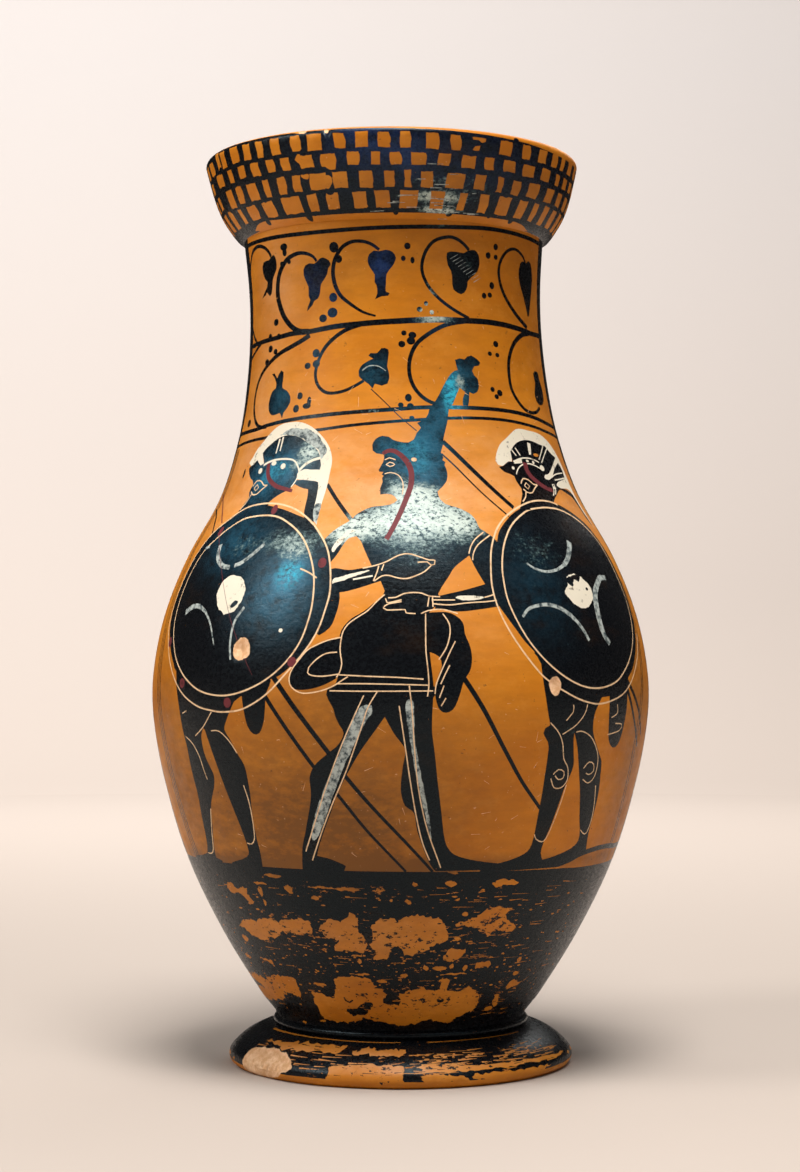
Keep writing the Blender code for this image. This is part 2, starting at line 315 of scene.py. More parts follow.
def paint_mouth():
    """Black band with four rows of reserved squares, and a reserved strip at the rim."""
    random.seed(5)
    top = [(-180, 279.9), (-68, 279.8), (-28, 279.6), (0, 279.4), (20, 279.0), (43, 278.2),
           (65, 277.2), (100, 277.4), (180, 279.9)]
    bottom = [(180, 255.1), (68, 255.1), (59, 255.4), (51, 256.4), (40, 256.6), (0, 256.4),
              (-35, 256.5), (-53, 257.0), (-61, 255.7), (-70, 255.1), (-180, 255.1)]
    band = smooth(top, False, PLAIN_PITCH) + smooth(bottom, False, PLAIN_PITCH)
    PAINT.append((GLOSS, [band]))
    front_end = 70
    widest_gap = 3.6
    closing_gap = 7
    # Each row: the heights of its top and bottom at the left end of the front and at the
    # right end, then the angles of the left and right edge of each square between them
    rows = [
        (
            (279.0, 274.1),
            (277.3, 273.5),
            "-67.6 -64.9  -64 -60.6  -56.8 -52.8  -50.2 -46.8  -44.1 -41.4  -38 -34.8"
            " -30.5 -27.8  -25.3 -20.8  -16.8 -13.8  -10.5 -6.7  -3.8 -0.6  2.6 5.6"
            " 10.1 13.8  17.8 20.6  33.8 38.2  42.7 46  50.1 54.3  57.4 61  63.6 66.4"
            " 70 74.4",
        ),
        (
            (273.1, 269.3),
            (272.2, 269),
            "-71.2 -65.7  -61.4 -58.6  -54.7 -51.4  -48 -44.3  -41.1 -38.2  -35.2 -32.2"
            " -28.6 -24.1  -21.4 -17.1  -13.2 -9.8  -6 -3.4  -0.4 2.7  5.8 10.2  13.9 17.7"
            " 21.5 26  29.3 32.4  36.1 40.7  44.1 49.4  53.2 57.8  62 64.8  68.5 72",
        ),
        (
            (267.6, 262.7),
            (267.4, 263.6),
            "-67 -62.5  -59.5 -56.1  -52.5 -47.8  -44.5 -42.1  -38.4 -35.4  -32.4 -29.5"
            " -26.2 -20.7  -18.4 -13.9  -9.9 -6.1  -2.4 0.6  3.8 6  9 12.7  17 22.9"
            " 26.6 30.3  34.8 36.9  40.9 44.2  48.1 53.4  58.1 63.2  66.8 71",
        ),
        (
            (261.7, 257.8),
            (262.6, 257.4),
            "-63.8 -61.4  -57.2 -52.2  -48.4 -43.2  -39 -31.7  -28.7 -25.4  -21.9 -17.9"
            " -12.9 -8.4  -5.7 -0.9  2.4 8.2  12.4 16.9  22 24.8  29.6 32.9  36.9 42.2"
            " 46 50.2  54 56.7  60.6 64.4",
        ),
    ]
    blots = []
    for left, right, edges in rows:
        marks = [float(mark) for mark in edges.split()]
        cells = list(zip(marks[::2], marks[1::2]))
        # squares of about the same size fill the row round the back
        at = marks[-1] + widest_gap
        while at < 360 + marks[0] - closing_gap:
            wide = random.uniform(3.2, 4.6)
            cells.append((at, at + wide))
            at += wide + random.uniform(2.8, widest_gap)
        for low, high in cells:
            share = min(max((low + front_end) / (2 * front_end), 0.0), 1.0)
            top_edge = left[0] + (right[0] - left[0]) * share + random.uniform(-0.15, 0.15)
            low_edge = left[1] + (right[1] - left[1]) * share + random.uniform(-0.15, 0.15)
            skew = random.uniform(-0.25, 0.25)
            turn = -360 if low > 180 else 0
            if low <= 180 < high:
                continue
            left_bow, right_bow = random.uniform(-0.5, 0.2), random.uniform(-0.2, 0.5)
            middle = (top_edge + low_edge) / 2
            area(CLAY, (low + skew + turn, top_edge, 0), (high + skew + turn, top_edge, 0),
                 (high + right_bow + turn, middle), (high - skew + turn, low_edge, 0),
                 (low - skew + turn, low_edge, 0), (low + left_bow + turn, middle),
                 rough=0.22, seed=round(low))
            blots.append((low - 1.6 + turn, low_edge - 0.2, random.uniform(1.0, 1.7)))
    for a, z, across in blots:
        if a > -179:
            dot(GLOSS, a, z, across, random.uniform(0.5, 1.1))
    for a, z, across, up in [
        (-49.8, 256.6, 1.2, 0.8), (-30.6, 256.4, 1.3, 1.2), (1.0, 256.4, 0.9, 0.6),
        (19.7, 256.6, 1.3, 0.8), (45.9, 256.5, 1.2, 0.7), (-12.0, 265.0, 1.9, 3.1),
        (-20.2, 262.6, 1.6, 1.2), (33.0, 264.8, 1.9, 2.4), (39.7, 278.4, 1.0, 0.9),
    ]:
        dot(GLOSS, a, z, across, up)
    area(CLAY, (24.3, 277.7), (28.8, 277.6), (28.7, 276.7), (27.5, 276.3), (26.4, 277), (24.6, 277))
    area(CLAY, (24.6, 274.1), (25.4, 275.2), (27.1, 275.5), (26.8, 274.1))
    area(CLAY, (-30, 272), (-29.2, 271.2), (-28.4, 270.7), (-28.3, 273.3), (-29.4, 273), rough=0.4, seed=3)
    area(CLAY, (-29, 267.3), (-26.5, 267.6), (-26.6, 266.4), (-28.4, 266.4), rough=0.4, seed=4)
    area(CLAY, (-21.8, 266), (-19.6, 266.8), (-18.9, 265.6), (-20.2, 263.2), (-22, 263.6), rough=0.5,
         seed=5)
    area(CLAY, (-20.5, 269.4), (-17.2, 269.4), (-17.4, 268.2), (-19.4, 268.6), rough=0.4)
    # pale streaks across the mouth's painted highlight: scratches, painted as lit
    for i in range(26):
        at = random.gauss(12, 7)
        up = random.gauss(260.5, 3)
        line(FADED, random.uniform(0.15, 0.4), (at, up), (at + random.uniform(1.5, 6), up + 0.1),
             end=0.1)
    area(CHIP, (-28.3, 280.6), (-25.8, 280.9), (-26.2, 279.6), (-27.8, 279.5), rough=0.3)
    area(CHIP, (-19.6, 279.9), (-18.5, 279.8), (-18.6, 278.4), (-19.4, 278.6), rough=0.2)


def paint_neck():
    """Ivy: a stem with curled shoots, hanging leaves and groups of dots, between lines."""
    line(GLOSS, 1.25, (-100, 253), (-78, 252.9), (-53, 252.5), (-28, 252.1), (0, 252.55), (20, 253.1),
         (40, 253.8), (65, 253.5), (100, 253.2))
    line(GLOSS, 1.3, (-100, 221), (-73, 221.8), (-53, 222.3), (-43, 222.9), (-34, 223), (-23, 223.9),
         (-13, 224.4), (0, 225), (15, 225.7), end=1.8)
    line(GLOSS, 1.8, (15, 225.7), (25, 225.8), (35, 226), (45, 225.8), (55, 225.3), (65, 224.8), (75, 225),
         (100, 224.6), end=1.4)
    # shoots above the stem
    line(GLOSS, 1.1, (-68, 222), (-74, 226), (-78, 232), (-78, 240), (-75, 246), (-71.5, 249), (-68, 250.6),
         (-63, 251.2), (-58, 250.2), (-55, 248.4), (-54, 247))
    line(GLOSS, 1.3, (-34.5, 223.2), (-39, 223.5), (-43, 225), (-47, 228), (-49.5, 231.2), (-51, 234.4),
         end=2.1)
    line(GLOSS, 2.1, (-51, 234.4), (-50.9, 238), (-49.3, 241.6), (-46, 244.4), (-43, 245.8), (-38.5, 246.6),
         (-34.5, 246.2), (-31.5, 245), (-30.3, 243.6), end=0.8)
    line(GLOSS, 0.6, (-7.4, 226.6), (-12, 227.8), (-17, 230.4), (-21, 233.2), (-23, 236.4), end=1.35)
    line(GLOSS, 1.35, (-23, 236.4), (-23.6, 239.6), (-23, 242.8), (-21.5, 245.2), (-19, 247.4),
         (-15.5, 248.6), (-11.5, 248.6), (-8, 247.6), (-5.4, 246), end=0.9)
    line(GLOSS, 1.0, (28.5, 226.6), (24, 228.2), (20, 230), (16, 232.4), (12.5, 235.6), (10.5, 239.2),
         (10.4, 242.4), (12, 246), (15, 248.8), (19, 250), (22, 250.2), (25, 249.4), (27.5, 248),
         (29, 246.8))
    line(GLOSS, 1.5, (61, 226.2), (56.5, 228), (52.5, 230), (49, 232.4), (46, 235.2), (44, 238.4),
         (43.3, 242), (44.5, 245.2), (47, 247.6), (50, 248.9), (53, 249.1), (56, 248.4), (58.5, 247.4),
         (60.5, 245.8), end=0.8)
    # shoots below the stem
    line(GLOSS, 1.5, (-34, 221.9), (-38, 220.4), (-43, 219), (-48, 217.8), (-53, 216.2), (-58, 214),
         (-62, 211.6), (-64.5, 208.8), (-65.6, 205.6), (-65.3, 202.4), (-63.8, 199.6), (-61, 197),
         (-57.5, 195.6), (-53, 195.4), end=1.1)
    line(GLOSS, 1.1, (-75, 218), (-70, 219.6), (-64, 221.6))
    line(GLOSS, 1.3, (-12, 224.4), (-18, 223), (-23, 220.8), (-27, 218), (-29.5, 214.8), (-30.8, 211.6),
         (-30.8, 208.8), (-29.3, 206.2), (-26.5, 204.4), (-23, 204), (-19, 204.6), (-15.5, 205.8),
         (-12, 207.4), end=0.9)
    line(GLOSS, 1.3, (27, 225.6), (22, 224.9), (17.5, 223.8), (12.5, 221.6), (8, 218.8), (5.5, 215.6),
         (4.4, 212), (4.6, 208.4), (6, 205.2), (8.5, 202.6), (11.5, 201), (15, 200.2), end=1.1)
    line(GLOSS, 1.6, (62, 224.6), (57, 223.8), (52, 221.6), (48.4, 218.4), (46.2, 214.4), (45.6, 210),
         (46, 206.4), (48.5, 203), (52, 200.6), (56, 199.9), (60, 200.4), (63.5, 202), end=1.0)
    # hanging leaves
    area(GLOSS, (-54, 247), (-52, 247.4), (-50.8, 245.6), (-51, 243.2), (-53, 241.2), (-54, 240),
         (-54.5, 238), (-55.3, 236), (-56.5, 235.4), (-58.8, 236.8), (-60, 236), (-63, 235.3, 0),
         (-60, 237.4), (-58.5, 238.4), (-57.8, 239.8), (-59.5, 240.8), (-61, 242.8), (-61, 244.8),
         (-59.8, 246), (-57.5, 246.2), (-55.6, 246.2))
    area(GLOSS, (-30.3, 243.4), (-28.8, 244.4), (-27.5, 244.6), (-25, 243.6), (-24.3, 242.4),
         (-25.5, 241.2), (-26, 239.6), (-27.5, 238), (-28.8, 236.8), (-29.3, 234.4), (-30.3, 232.6),
         (-32, 232), (-32.8, 230.8), (-35.4, 229.1, 0), (-35, 230.4), (-33.8, 232.4), (-34.5, 233.6),
         (-34.5, 236.4), (-35.5, 238), (-36.5, 240), (-36.5, 241.6), (-35.5, 242.8), (-33.5, 243.3),
         (-31.5, 243))
    area(GLOSS, (-5.3, 245.6), (-3, 246), (-0.5, 245.4), (0.7, 243.6), (0, 242), (-2, 240), (-3, 238.8),
         (-3.3, 236), (-3.4, 233.8), (-2, 233.3, 0), (-2.6, 232.5), (-5, 232.4), (-7.5, 231.5, 0),
         (-6.6, 233.2), (-6.8, 235.6), (-7.5, 236.6), (-7.4, 238.8), (-9, 240.8), (-9.9, 242.8),
         (-9.2, 244.8), (-7.5, 245.8))
    area(GLOSS, (28.6, 246.6), (31.5, 247), (33.3, 245.6), (33.8, 243.2), (32.8, 240.8), (30, 238.8),
         (28.5, 237.6), (28.3, 236), (27, 234.2), (25.5, 233.6), (24, 234), (22.5, 234.8), (22, 236.4),
         (22, 238.8), (21.5, 240.4), (20.3, 242), (19.8, 244.4), (20, 245.6), (21.5, 246), (24.5, 246),
         (26.8, 245.8))
    area(GLOSS, (55.6, 243.4), (56.4, 245.2), (58.6, 246.2), (61, 245.8), (63.2, 246.8), (65.6, 245.8),
         (67.2, 243.4), (67.4, 240.6), (66.4, 237), (65, 233.4), (63.6, 230), (62.4, 229.8), (61.2, 232.4),
         (59.4, 235.2), (57.4, 237.8), (55.8, 240.6))
    area(GLOSS, (-53.5, 211.4, 0), (-52, 211.6), (-50, 210), (-49.3, 211), (-48, 212.2), (-46.5, 211.6),
         (-46.5, 208.8), (-46.5, 206.8), (-44, 205.8), (-42, 204), (-41.8, 202), (-43.5, 200),
         (-44.5, 199.2), (-45, 197.4, 0), (-46.6, 199.2), (-48.5, 198.8), (-51, 198.8), (-53, 200),
         (-53.8, 202), (-53.5, 204), (-52.5, 206), (-50.3, 207), (-50.3, 208.4), (-51.5, 210))
    area(GLOSS, (-9.5, 213.6), (-8.5, 213.9), (-10.3, 214.8, 0), (-9.5, 215.6), (-7, 215.6), (-5.5, 217),
         (-3, 216.6), (-3, 214.4), (-3.5, 211.6), (-3, 210), (-2.8, 208), (-3.5, 206.4), (-5.5, 205.8),
         (-8, 206.4), (-8.8, 205), (-10.3, 206.4), (-12, 207.4), (-13.8, 208.8), (-13.9, 210.4),
         (-12.5, 212.2))
    area(GLOSS, (21.7, 213.9), (23.5, 214.4), (25.6, 214.2), (26.7, 215.1), (28.5, 215.5), (30.6, 214.6),
         (32.1, 213.5), (31.4, 212.6), (29.4, 212.3), (28.3, 211), (28.9, 209.6), (30.3, 208.5),
         (30.6, 206.7), (29.6, 204.6), (27.8, 203.9), (26.4, 204.4), (26, 202.8), (25.3, 200.3),
         (23.3, 200.3), (23.6, 202.6), (24.6, 204.4), (22.6, 205.6), (22, 208), (22.4, 211))
    area(GLOSS, (62.3, 212.3), (64, 213.2), (67.4, 213), (67.8, 211), (69.5, 208.5), (69.8, 205.6),
         (67.5, 203.4), (64, 202.8), (61.4, 204), (61.2, 206.6), (63, 209.4))
    for a, z, across, up in [
        (-45.7, 249.1, 2.0, 1.1), (-45.5, 247.5, 1.2, 1.2), (-47.5, 244.2, 1.2, 0.8),
        (-43.5, 244.5, 1.0, 0.7), (-52.3, 227.1, 1.6, 1.1), (-56.2, 223.0, 1.3, 1.0),
        (-50.5, 222.8, 1.2, 0.8), (-55.7, 219.3, 1.5, 1.1), (-52.2, 218.2, 1.3, 0.9),
        (-57.8, 215.4, 1.5, 1.0), (-22.7, 247.3, 1.9, 1.6), (-21.0, 243.8, 1.4, 1.2),
        (-23.8, 232.6, 1.7, 1.4), (-24.2, 228.1, 2.1, 1.5), (-28.2, 226.6, 1.7, 1.2),
        (-31.0, 216.3, 1.6, 1.3), (-30.8, 213.1, 1.6, 1.2), (-34.6, 212.7, 1.4, 1.0),
        (-37.3, 203.8, 1.3, 1.1), (-38.6, 200.0, 1.4, 1.2), (-33.9, 200.6, 1.8, 0.9),
        (-33.0, 202.0, 0.9, 1.4), (5.0, 247.1, 1.2, 1.0), (3.4, 243.5, 0.9, 0.8),
        (6.8, 243.0, 0.8, 1.0), (37.8, 245.9, 1.2, 1.0), (41.4, 248.7, 1.2, 1.0),
        (41.6, 245.7, 1.0, 0.8), (39.7, 237.1, 1.2, 1.1), (35.8, 233.8, 1.1, 0.9),
        (38.6, 234.2, 1.1, 0.8), (9.0, 228.6, 1.1, 0.8), (11.5, 230.4, 0.8, 0.7),
        (13.6, 227.8, 0.8, 0.7), (2.9, 221.5, 1.0, 0.8), (6.0, 220.9, 1.5, 1.0),
        (5.4, 219.2, 1.6, 1.2), (2.0, 218.2, 1.3, 1.0), (40.2, 219.6, 1.3, 1.0),
        (36.9, 216.5, 1.0, 0.7), (40.5, 216.3, 1.0, 0.7), (36.4, 205.7, 1.0, 0.8),
        (39.6, 204.8, 1.3, 1.0), (37.9, 203.6, 1.0, 0.8), (3.7, 202.2, 1.2, 1.2),
        (1.0, 200.0, 1.0, 0.8), (4.3, 199.8, 1.2, 0.8), (4.6, 196.2, 0.9, 0.6),
        (-68.0, 197.5, 1.6, 1.2),
    ]:
        dot(GLOSS, a, z, across, up)
    # the two lines that close the band, and the spear tip that crosses them
    line(GLOSS, 1.2, (-100, 194.6), (-64, 194.9), (-53, 195.8), (-40, 196.8), (-25, 197.6), (-10, 198.3),
         (0, 198.8), (10, 199.4), (30, 199.7), (45, 199.4), (58, 198.4), (70, 197.2), (100, 195.5))
    line(GLOSS, 0.95, (-100, 190), (-64, 191.6), (-52, 192), (-30, 193), (-15, 194.2), (0, 195.2),
         (10, 195.8), (25, 196.6), (40, 196.6), (55, 195.6), (68, 194.4), (100, 192.5))
    line(GLOSS, 0.3, (-9.4, 204.9), (-5.1, 201.4), (0.3, 196.7), (6, 192.3))
    # a pale curve across a leaf: a painted highlight
    line(FADED, 0.4, (-12.6, 210.4), (-10, 211.8), (-6.5, 211.6), (-4, 210.2), end=0.2)
    for i in range(10):
        at = 21.2 + 1.1 * i
        line(FADED, 0.17, (at, 243.8 - 0.7 * i), (at + 3.2, 245.3 - 0.7 * i), end=0.08)


def paint_frame():
    """Black back and base, the ground line and the lines at the panel's sides."""
    area(GLOSS, (-180, 257, 0), (-75, 257, 0), (-75, 240), (-75, 210), (-78, 190), (-82, 160), (-82, 120),
         (-80, 90), (-78, 64, 0), (-180, 64, 0))
    area(GLOSS, (180, 257, 0), (74, 257, 0), (74.5, 240), (75, 210), (77, 190), (80, 160), (81, 120),
         (80, 90), (78, 64, 0), (180, 64, 0))
    area(GLOSS, (-180, 64.6, 0), (-66, 65.5, 0), (-40, 65.2), (0, 64.9), (20, 64.6), (45, 64.1), (66, 63.8),
         (180, 64.4, 0), (180, FOOT_TOP, 0), (-180, FOOT_TOP, 0))
    for shift in (-1.4, 0.0, 1.3):
        line(GLOSS, 0.6, (-75 + shift, 190), (-74.5 + shift, 160), (-72.5 + shift, 130), (-70 + shift, 105),
             (-67.6 + shift, 80), (-66 + shift, 65.4))
    for shift in (0.0, 1.4):
        line(GLOSS, 0.6, (74 + shift, 150), (71.9 + shift, 127.5), (68.3 + shift, 105), (67.6 + shift, 92),
             (68 + shift, 68))
    area(GLOSS, (-67, 66.2, 0), (-61.6, 66.8), (-58, 67.8, 0), (-56, 67), (-52, 65.4), (-67, 64.6, 0))
    line(GLOSS, 1.6, (41, 66.8), (49, 67.3), (53.9, 68.3), (59.9, 69), (66.4, 69.1), (72, 68.6), (80, 68.6))


def paint_spears():
    """The spears that cross the panel behind the figures."""
    line(GLOSS, 1.6, (-29, 122.2), (-15.6, 99.1), (-11.8, 92), (-4.7, 81.3), (7.9, 64.8), end=0.8)
    line(GLOSS, 1.3, (-30.4, 115.8), (-19.4, 95.5), (-14, 87), (-7.4, 76.3), (1.3, 64.9), end=0.7)
    line(GLOSS, 1.5, (13, 121), (17.2, 112.5), (22.6, 100.5), (28, 90.4), (34.4, 81.8), end=1.0)
    line(GLOSS, 0.8, (38, 76.3), (40, 74), end=0.5)
    line(GLOSS, 1.35, (14.5, 189.2), (18.1, 186), (25.3, 178.9), (34, 169.9))
    line(GLOSS, 0.5, (13.7, 185.5), (18.1, 181.4), (25.3, 173.5), (31.4, 167.1))
    line(GLOSS, 1.1, (-22.4, 176.6), (-18.3, 171.5), (-13.2, 165.6))
    line(RED, 0.5, (-76, 176), (-69.3, 172.2), (-61.6, 166.5))
    line(GLOSS, 0.7, (-76, 171.4), (-69.8, 168.6), (-64.3, 163.3))
    line(GLOSS, 1.5, (61, 119), (67.5, 111.1), (72.5, 102.6), end=1.0)
    line(GLOSS, 1.5, (60.8, 116.4), (65.3, 107.6), (70.5, 99), end=1.0)


# Cut lines round the shields, each from the top and down the left side first. Arcs of them
# are drawn again over what passes behind the shield.
LEFT_RIM = [
    (-44.7, 171.5), (-51.8, 170.4), (-58.3, 167.2), (-64.3, 163.3), (-67.9, 158.7), (-69.9, 153.7),
    (-70.8, 148), (-70.9, 141.7), (-70.1, 136), (-67.6, 130.3), (-64.3, 124.6), (-60, 118.9),
    (-55.6, 114.7), (-50.1, 111.7), (-45.2, 110.6), (-41.4, 110.3), (-35.9, 111.3), (-29.9, 115.4),
    (-24.9, 121.8), (-20.8, 128.2), (-18.3, 133.8), (-17, 139.5), (-16.3, 145.2), (-17.2, 153),
    (-19.2, 158.7), (-23.6, 164.4), (-27.5, 167.4), (-32, 169.7), (-38, 171.2), (-44.7, 171.5),
]
RIGHT_RIM = [
    (53.8, 171.6), (51.9, 172.2), (47.5, 172.6), (42.5, 172.2), (37.8, 170.9), (33.8, 169.2),
    (30.2, 167.1), (27, 164.2), (24.8, 161), (23.1, 157), (22.1, 152), (21.6, 146.6), (22.2, 140.9),
    (24.1, 134.6), (27.1, 128.2), (30.4, 122.8), (33.1, 119.6), (37.5, 116.4), (42.4, 113.8),
    (47.9, 112.5), (53.3, 113.3), (58.8, 115.4), (63.2, 118.9), (67, 123.2), (70.4, 127.6),
    (73, 133),
]
RIGHT_INNER_RIM = [
    (46.8, 170.5), (40.2, 169.7), (34.8, 167.2), (30.4, 163.7), (27.1, 158.7), (25.3, 153),
    (24.8, 147.3), (25.2, 141.7), (27.1, 135.3), (29.8, 129.6), (33.7, 124.3), (38.6, 120),
    (44, 117.5), (49.5, 117.2), (55.5, 118.9), (60.4, 122.5), (65.3, 127.5), (68.6, 132.4),
    (70.8, 138.1), (71.9, 145.2), (71.3, 152.3), (70.3, 157.3), (68.1, 162.2), (63.2, 166.5),
    (57.7, 169), (52.2, 170.3), (46.8, 170.5),
]


def paint_left_warrior():
    """A warrior walking left behind a round shield."""
    # legs and scabbard
    area(GLOSS, (-61, 124), (-60, 121.8), (-59.2, 116.8), (-58.1, 111.1), (-57.2, 104.7), (-56.2, 99.1),
         (-55.9, 92.7), (-55.4, 85.6), (-55.9, 79.2), (-56.4, 73.5), (-57.2, 69.9), (-58.4, 67.6, 0),
         (-60, 65.4, 0), (-54.5, 65.2, 0), (-54, 69.2), (-52.3, 74.9), (-50.7, 82), (-49.1, 85.6),
         (-47.7, 88.4), (-47.1, 91.2), (-47.7, 93.4), (-49.1, 96.9), (-49.6, 99.8), (-49.6, 103.3),
         (-48.6, 105.4, 0), (-48.1, 104.7, 0), (-46.6, 99.1), (-45.2, 93.4), (-43.9, 87.7), (-42.5, 82),
         (-40.9, 74.9), (-40.4, 70.7), (-40.7, 68.5), (-43, 67.1), (-47.4, 65.8), (-48.5, 65, 0),
         (-36.9, 65, 0), (-36.6, 69.2), (-36.8, 74.2), (-36.8, 79.9), (-36.4, 85.6), (-36.4, 90.5),
         (-36.8, 94.8), (-38.4, 98.3), (-40.3, 102.6), (-41.6, 105.1), (-40.9, 107.6), (-38.7, 112.5),
         (-37.3, 115.4), (-36, 119), (-45, 124))
    area(GLOSS, (-36.8, 120), (-36.2, 115.7), (-35.7, 111.1), (-34.9, 106.5), (-33.5, 104.2),
         (-31.8, 104.4), (-30.5, 107.6), (-30, 111.8), (-29.8, 115.4), (-29, 120.4))
    # shield
    area(GLOSS, (-44.7, 171.2), (-51.8, 170.1), (-58.3, 166.9), (-64.3, 163), (-67.9, 158.4),
         (-69.8, 153.4), (-70.6, 148), (-70.6, 141.7), (-69.4, 136), (-66.4, 130.4), (-63, 125.4),
         (-59.4, 121), (-55.2, 115.4), (-50, 112.2), (-45.2, 111), (-41.4, 110.7), (-37.5, 114),
         (-33, 117.2), (-29.2, 119.6), (-25.6, 121.8), (-20.8, 128.2), (-18.3, 133.8), (-17, 139.5),
         (-16.3, 145.2), (-17.2, 153), (-19.2, 158.7), (-22.4, 163), (-26, 166), (-30.5, 167.8),
         (-36, 169.6))
    area(GLOSS, (-18.6, 133), (-15.6, 134.5), (-14.4, 138.2), (-13.9, 141.4), (-14, 144.6), (-15.7, 147),
         (-17, 146))
    line(INCISED, 0.45, (-24.7, 151.6), (-22.2, 150.4), (-20, 148.8))
    line(INCISED, 0.5, *LEFT_RIM)
    line(INCISED, 0.5, (-43, 167.9), (-49.6, 167.2), (-55.1, 164.7), (-60, 161.2), (-63.8, 158),
         (-66.3, 152.3), (-67.1, 145.9), (-66.8, 139.5), (-65.4, 133.8), (-62.2, 127.5), (-58.9, 123.2),
         (-54.5, 119.3), (-49.1, 116.2), (-42.5, 115), (-36.5, 116.1), (-30.5, 119.3), (-25.6, 124.3),
         (-22.3, 130.3), (-20.7, 136.7), (-20.2, 142.4), (-20.7, 148.8), (-22.3, 154.4), (-25, 159.4),
         (-28.8, 163.3), (-34.3, 166.5), (-38.7, 167.7), (-43, 167.9))
    for a, z in [(-59.2, 163.8), (-38.6, 169.5), (-66.3, 130.6), (-56.7, 118.4),
                 (-40.3, 113.0), (-23.8, 124.8), (-19.2, 153.2)]:
        dot(RED, a, z, 1.1, 1.5)
    area(CREAM, (-48.7, 146), (-47.4, 149), (-44.8, 150.1), (-41.6, 149.4), (-39.4, 146.6), (-39.3, 143.4),
         (-40.6, 140.2), (-43.4, 138.7), (-46.2, 139.9), (-48.2, 142.8), rough=0.4)
    area(GLOSS, (-42.4, 140.4), (-41.2, 141), (-40.6, 142.4), (-41.6, 142.6), (-42.6, 141.6), rough=0.5,
         seed=2)
    line(FADED, 1.8, (-55.3, 159.6), (-54, 155.9), (-50.7, 153.2), (-47.1, 152.5), end=1.3)
    line(FADED, 1.3, (-45.5, 153), (-43, 153.9), (-39.8, 156.6), (-37.3, 159.2), end=1.1)
    line(FADED, 1.9, (-60.8, 139.4), (-58, 140.9), (-55, 141.2), (-51.5, 139.6), end=1.0)
    line(FADED, 0.8, (-51.5, 139.6), (-48.4, 135.8), (-45.8, 129.6), end=0.4)
    line(FADED, 0.9, (-38.2, 140.6), (-40.3, 136.6), (-40.7, 131), (-40, 125.4), end=0.7)
    line(RED, 0.15, (-59, 163), (-48, 148.5), (-33.5, 121))
    line(FADED, 0.9, (-63.6, 158.8), (-61, 159.4))
    area(CHIP, (-39.4, 129), (-38.4, 131.2), (-36.6, 131.7), (-34.9, 130.4), (-34.6, 127.8), (-35.6, 125.8),
         (-37.4, 125.1), (-39, 126.2), rough=0.5)
    dot(CREAM, -27.2, 133.8, 0.5, 0.6)
    # head and helmet
    area(GLOSS, (-58.5, 183.1, 0), (-54.3, 185.6), (-52.4, 184.2), (-50, 184.2), (-52, 187.3),
         (-50.9, 188.4), (-48.4, 190), (-45.3, 191.6), (-42.1, 192.4), (-39, 192.4), (-35.9, 191.8),
         (-32.8, 190.4), (-29.6, 188.8), (-27, 187), (-25.5, 184), (-25.6, 181), (-29.6, 181),
         (-33.5, 180.6), (-33.4, 178.2, 0), (-30.9, 178.2), (-27.8, 177.9), (-25, 177.2, 0), (-24.6, 174.1),
         (-24.6, 170.3), (-24, 165, 0), (-27, 166), (-28, 169), (-28.2, 173.1), (-28.6, 175.3, 0),
         (-30, 175.5), (-31.8, 176.1), (-33.8, 177, 0), (-35.4, 175.7), (-37.3, 174.7), (-39.3, 173.8),
         (-41.8, 172), (-43, 170), (-54.8, 169.6, 0), (-53.6, 171.9), (-52.4, 173.9), (-53.4, 175.4),
         (-53.2, 176.6), (-52.8, 177.8), (-53.6, 178.9), (-55.6, 179.9), (-57.4, 181.4))
    area(CREAM, (-59.2, 184.7), (-57.8, 186.4), (-55.9, 188.8), (-53.4, 190.6), (-50.6, 192.7),
         (-47.1, 194.8), (-43.4, 195.8), (-39.6, 196), (-36.5, 195.9), (-33.7, 195.3), (-30.9, 194.2),
         (-28.1, 192.5), (-25.3, 190.2), (-23.1, 187.5), (-22, 184.7), (-21.8, 182.5), (-22.1, 179.7),
         (-22.3, 176.6), (-22.8, 172.8), (-23.1, 170), (-23.2, 167.5), (-22.9, 164.4, 0), (-24.4, 166.3),
         (-25.1, 168.8), (-25.1, 171.9), (-25.2, 175), (-25.6, 177.3), (-27.8, 177.8), (-30.9, 178.2),
         (-33.4, 178.5), (-33.8, 180.2), (-31.4, 181.4), (-29.3, 181.2, 0), (-25.7, 181.1, 0),
         (-25.5, 182.4), (-26, 184), (-27.1, 186.6), (-29.6, 188.4), (-32.8, 190), (-35.9, 191.4),
         (-39, 192), (-42.1, 192), (-45.3, 191.3), (-48.4, 189.8), (-50.9, 188.4), (-52, 187.3),
         (-51, 185.6), (-50, 184, 0), (-51.6, 183.5), (-53.1, 184.4), (-54.3, 185.3), (-56, 184.1),
         (-57.6, 183.7))
    area(FADED, (-44, 192.5), (-40, 193.7), (-36, 193.9), (-32, 193.3), (-28.5, 191.7), (-25.5, 189.2),
         (-23.9, 186.6), (-24.8, 185), (-26, 184.6), (-27.1, 186.8), (-29.6, 188.6), (-32.8, 190.2),
         (-35.9, 191.5), (-39, 192.1), rough=0.5)
    area(FADED, (-22.9, 164.4, 0), (-24.4, 166.3), (-25.1, 168.8), (-25.1, 170.4), (-23.3, 170.9),
         (-23.1, 168.2), rough=0.3)
    line(CREAM, 0.8, (-26, 184.6), (-28.6, 184.1), (-31.4, 182.8), (-33.4, 181))
    line(CREAM, 0.7, (-49.9, 183.4), (-47.8, 184.2), (-44.6, 184.8), (-40.3, 184.9), (-36.5, 184.4),
         (-34.6, 183), (-33.2, 180.6), (-33.8, 178), (-35, 176.2), end=0.4)
    line(CREAM, 0.7, (-44.2, 191.2), (-44.9, 186.8), end=0.4)
    line(CREAM, 0.7, (-42.7, 191.7), (-43.1, 187.4), end=0.4)
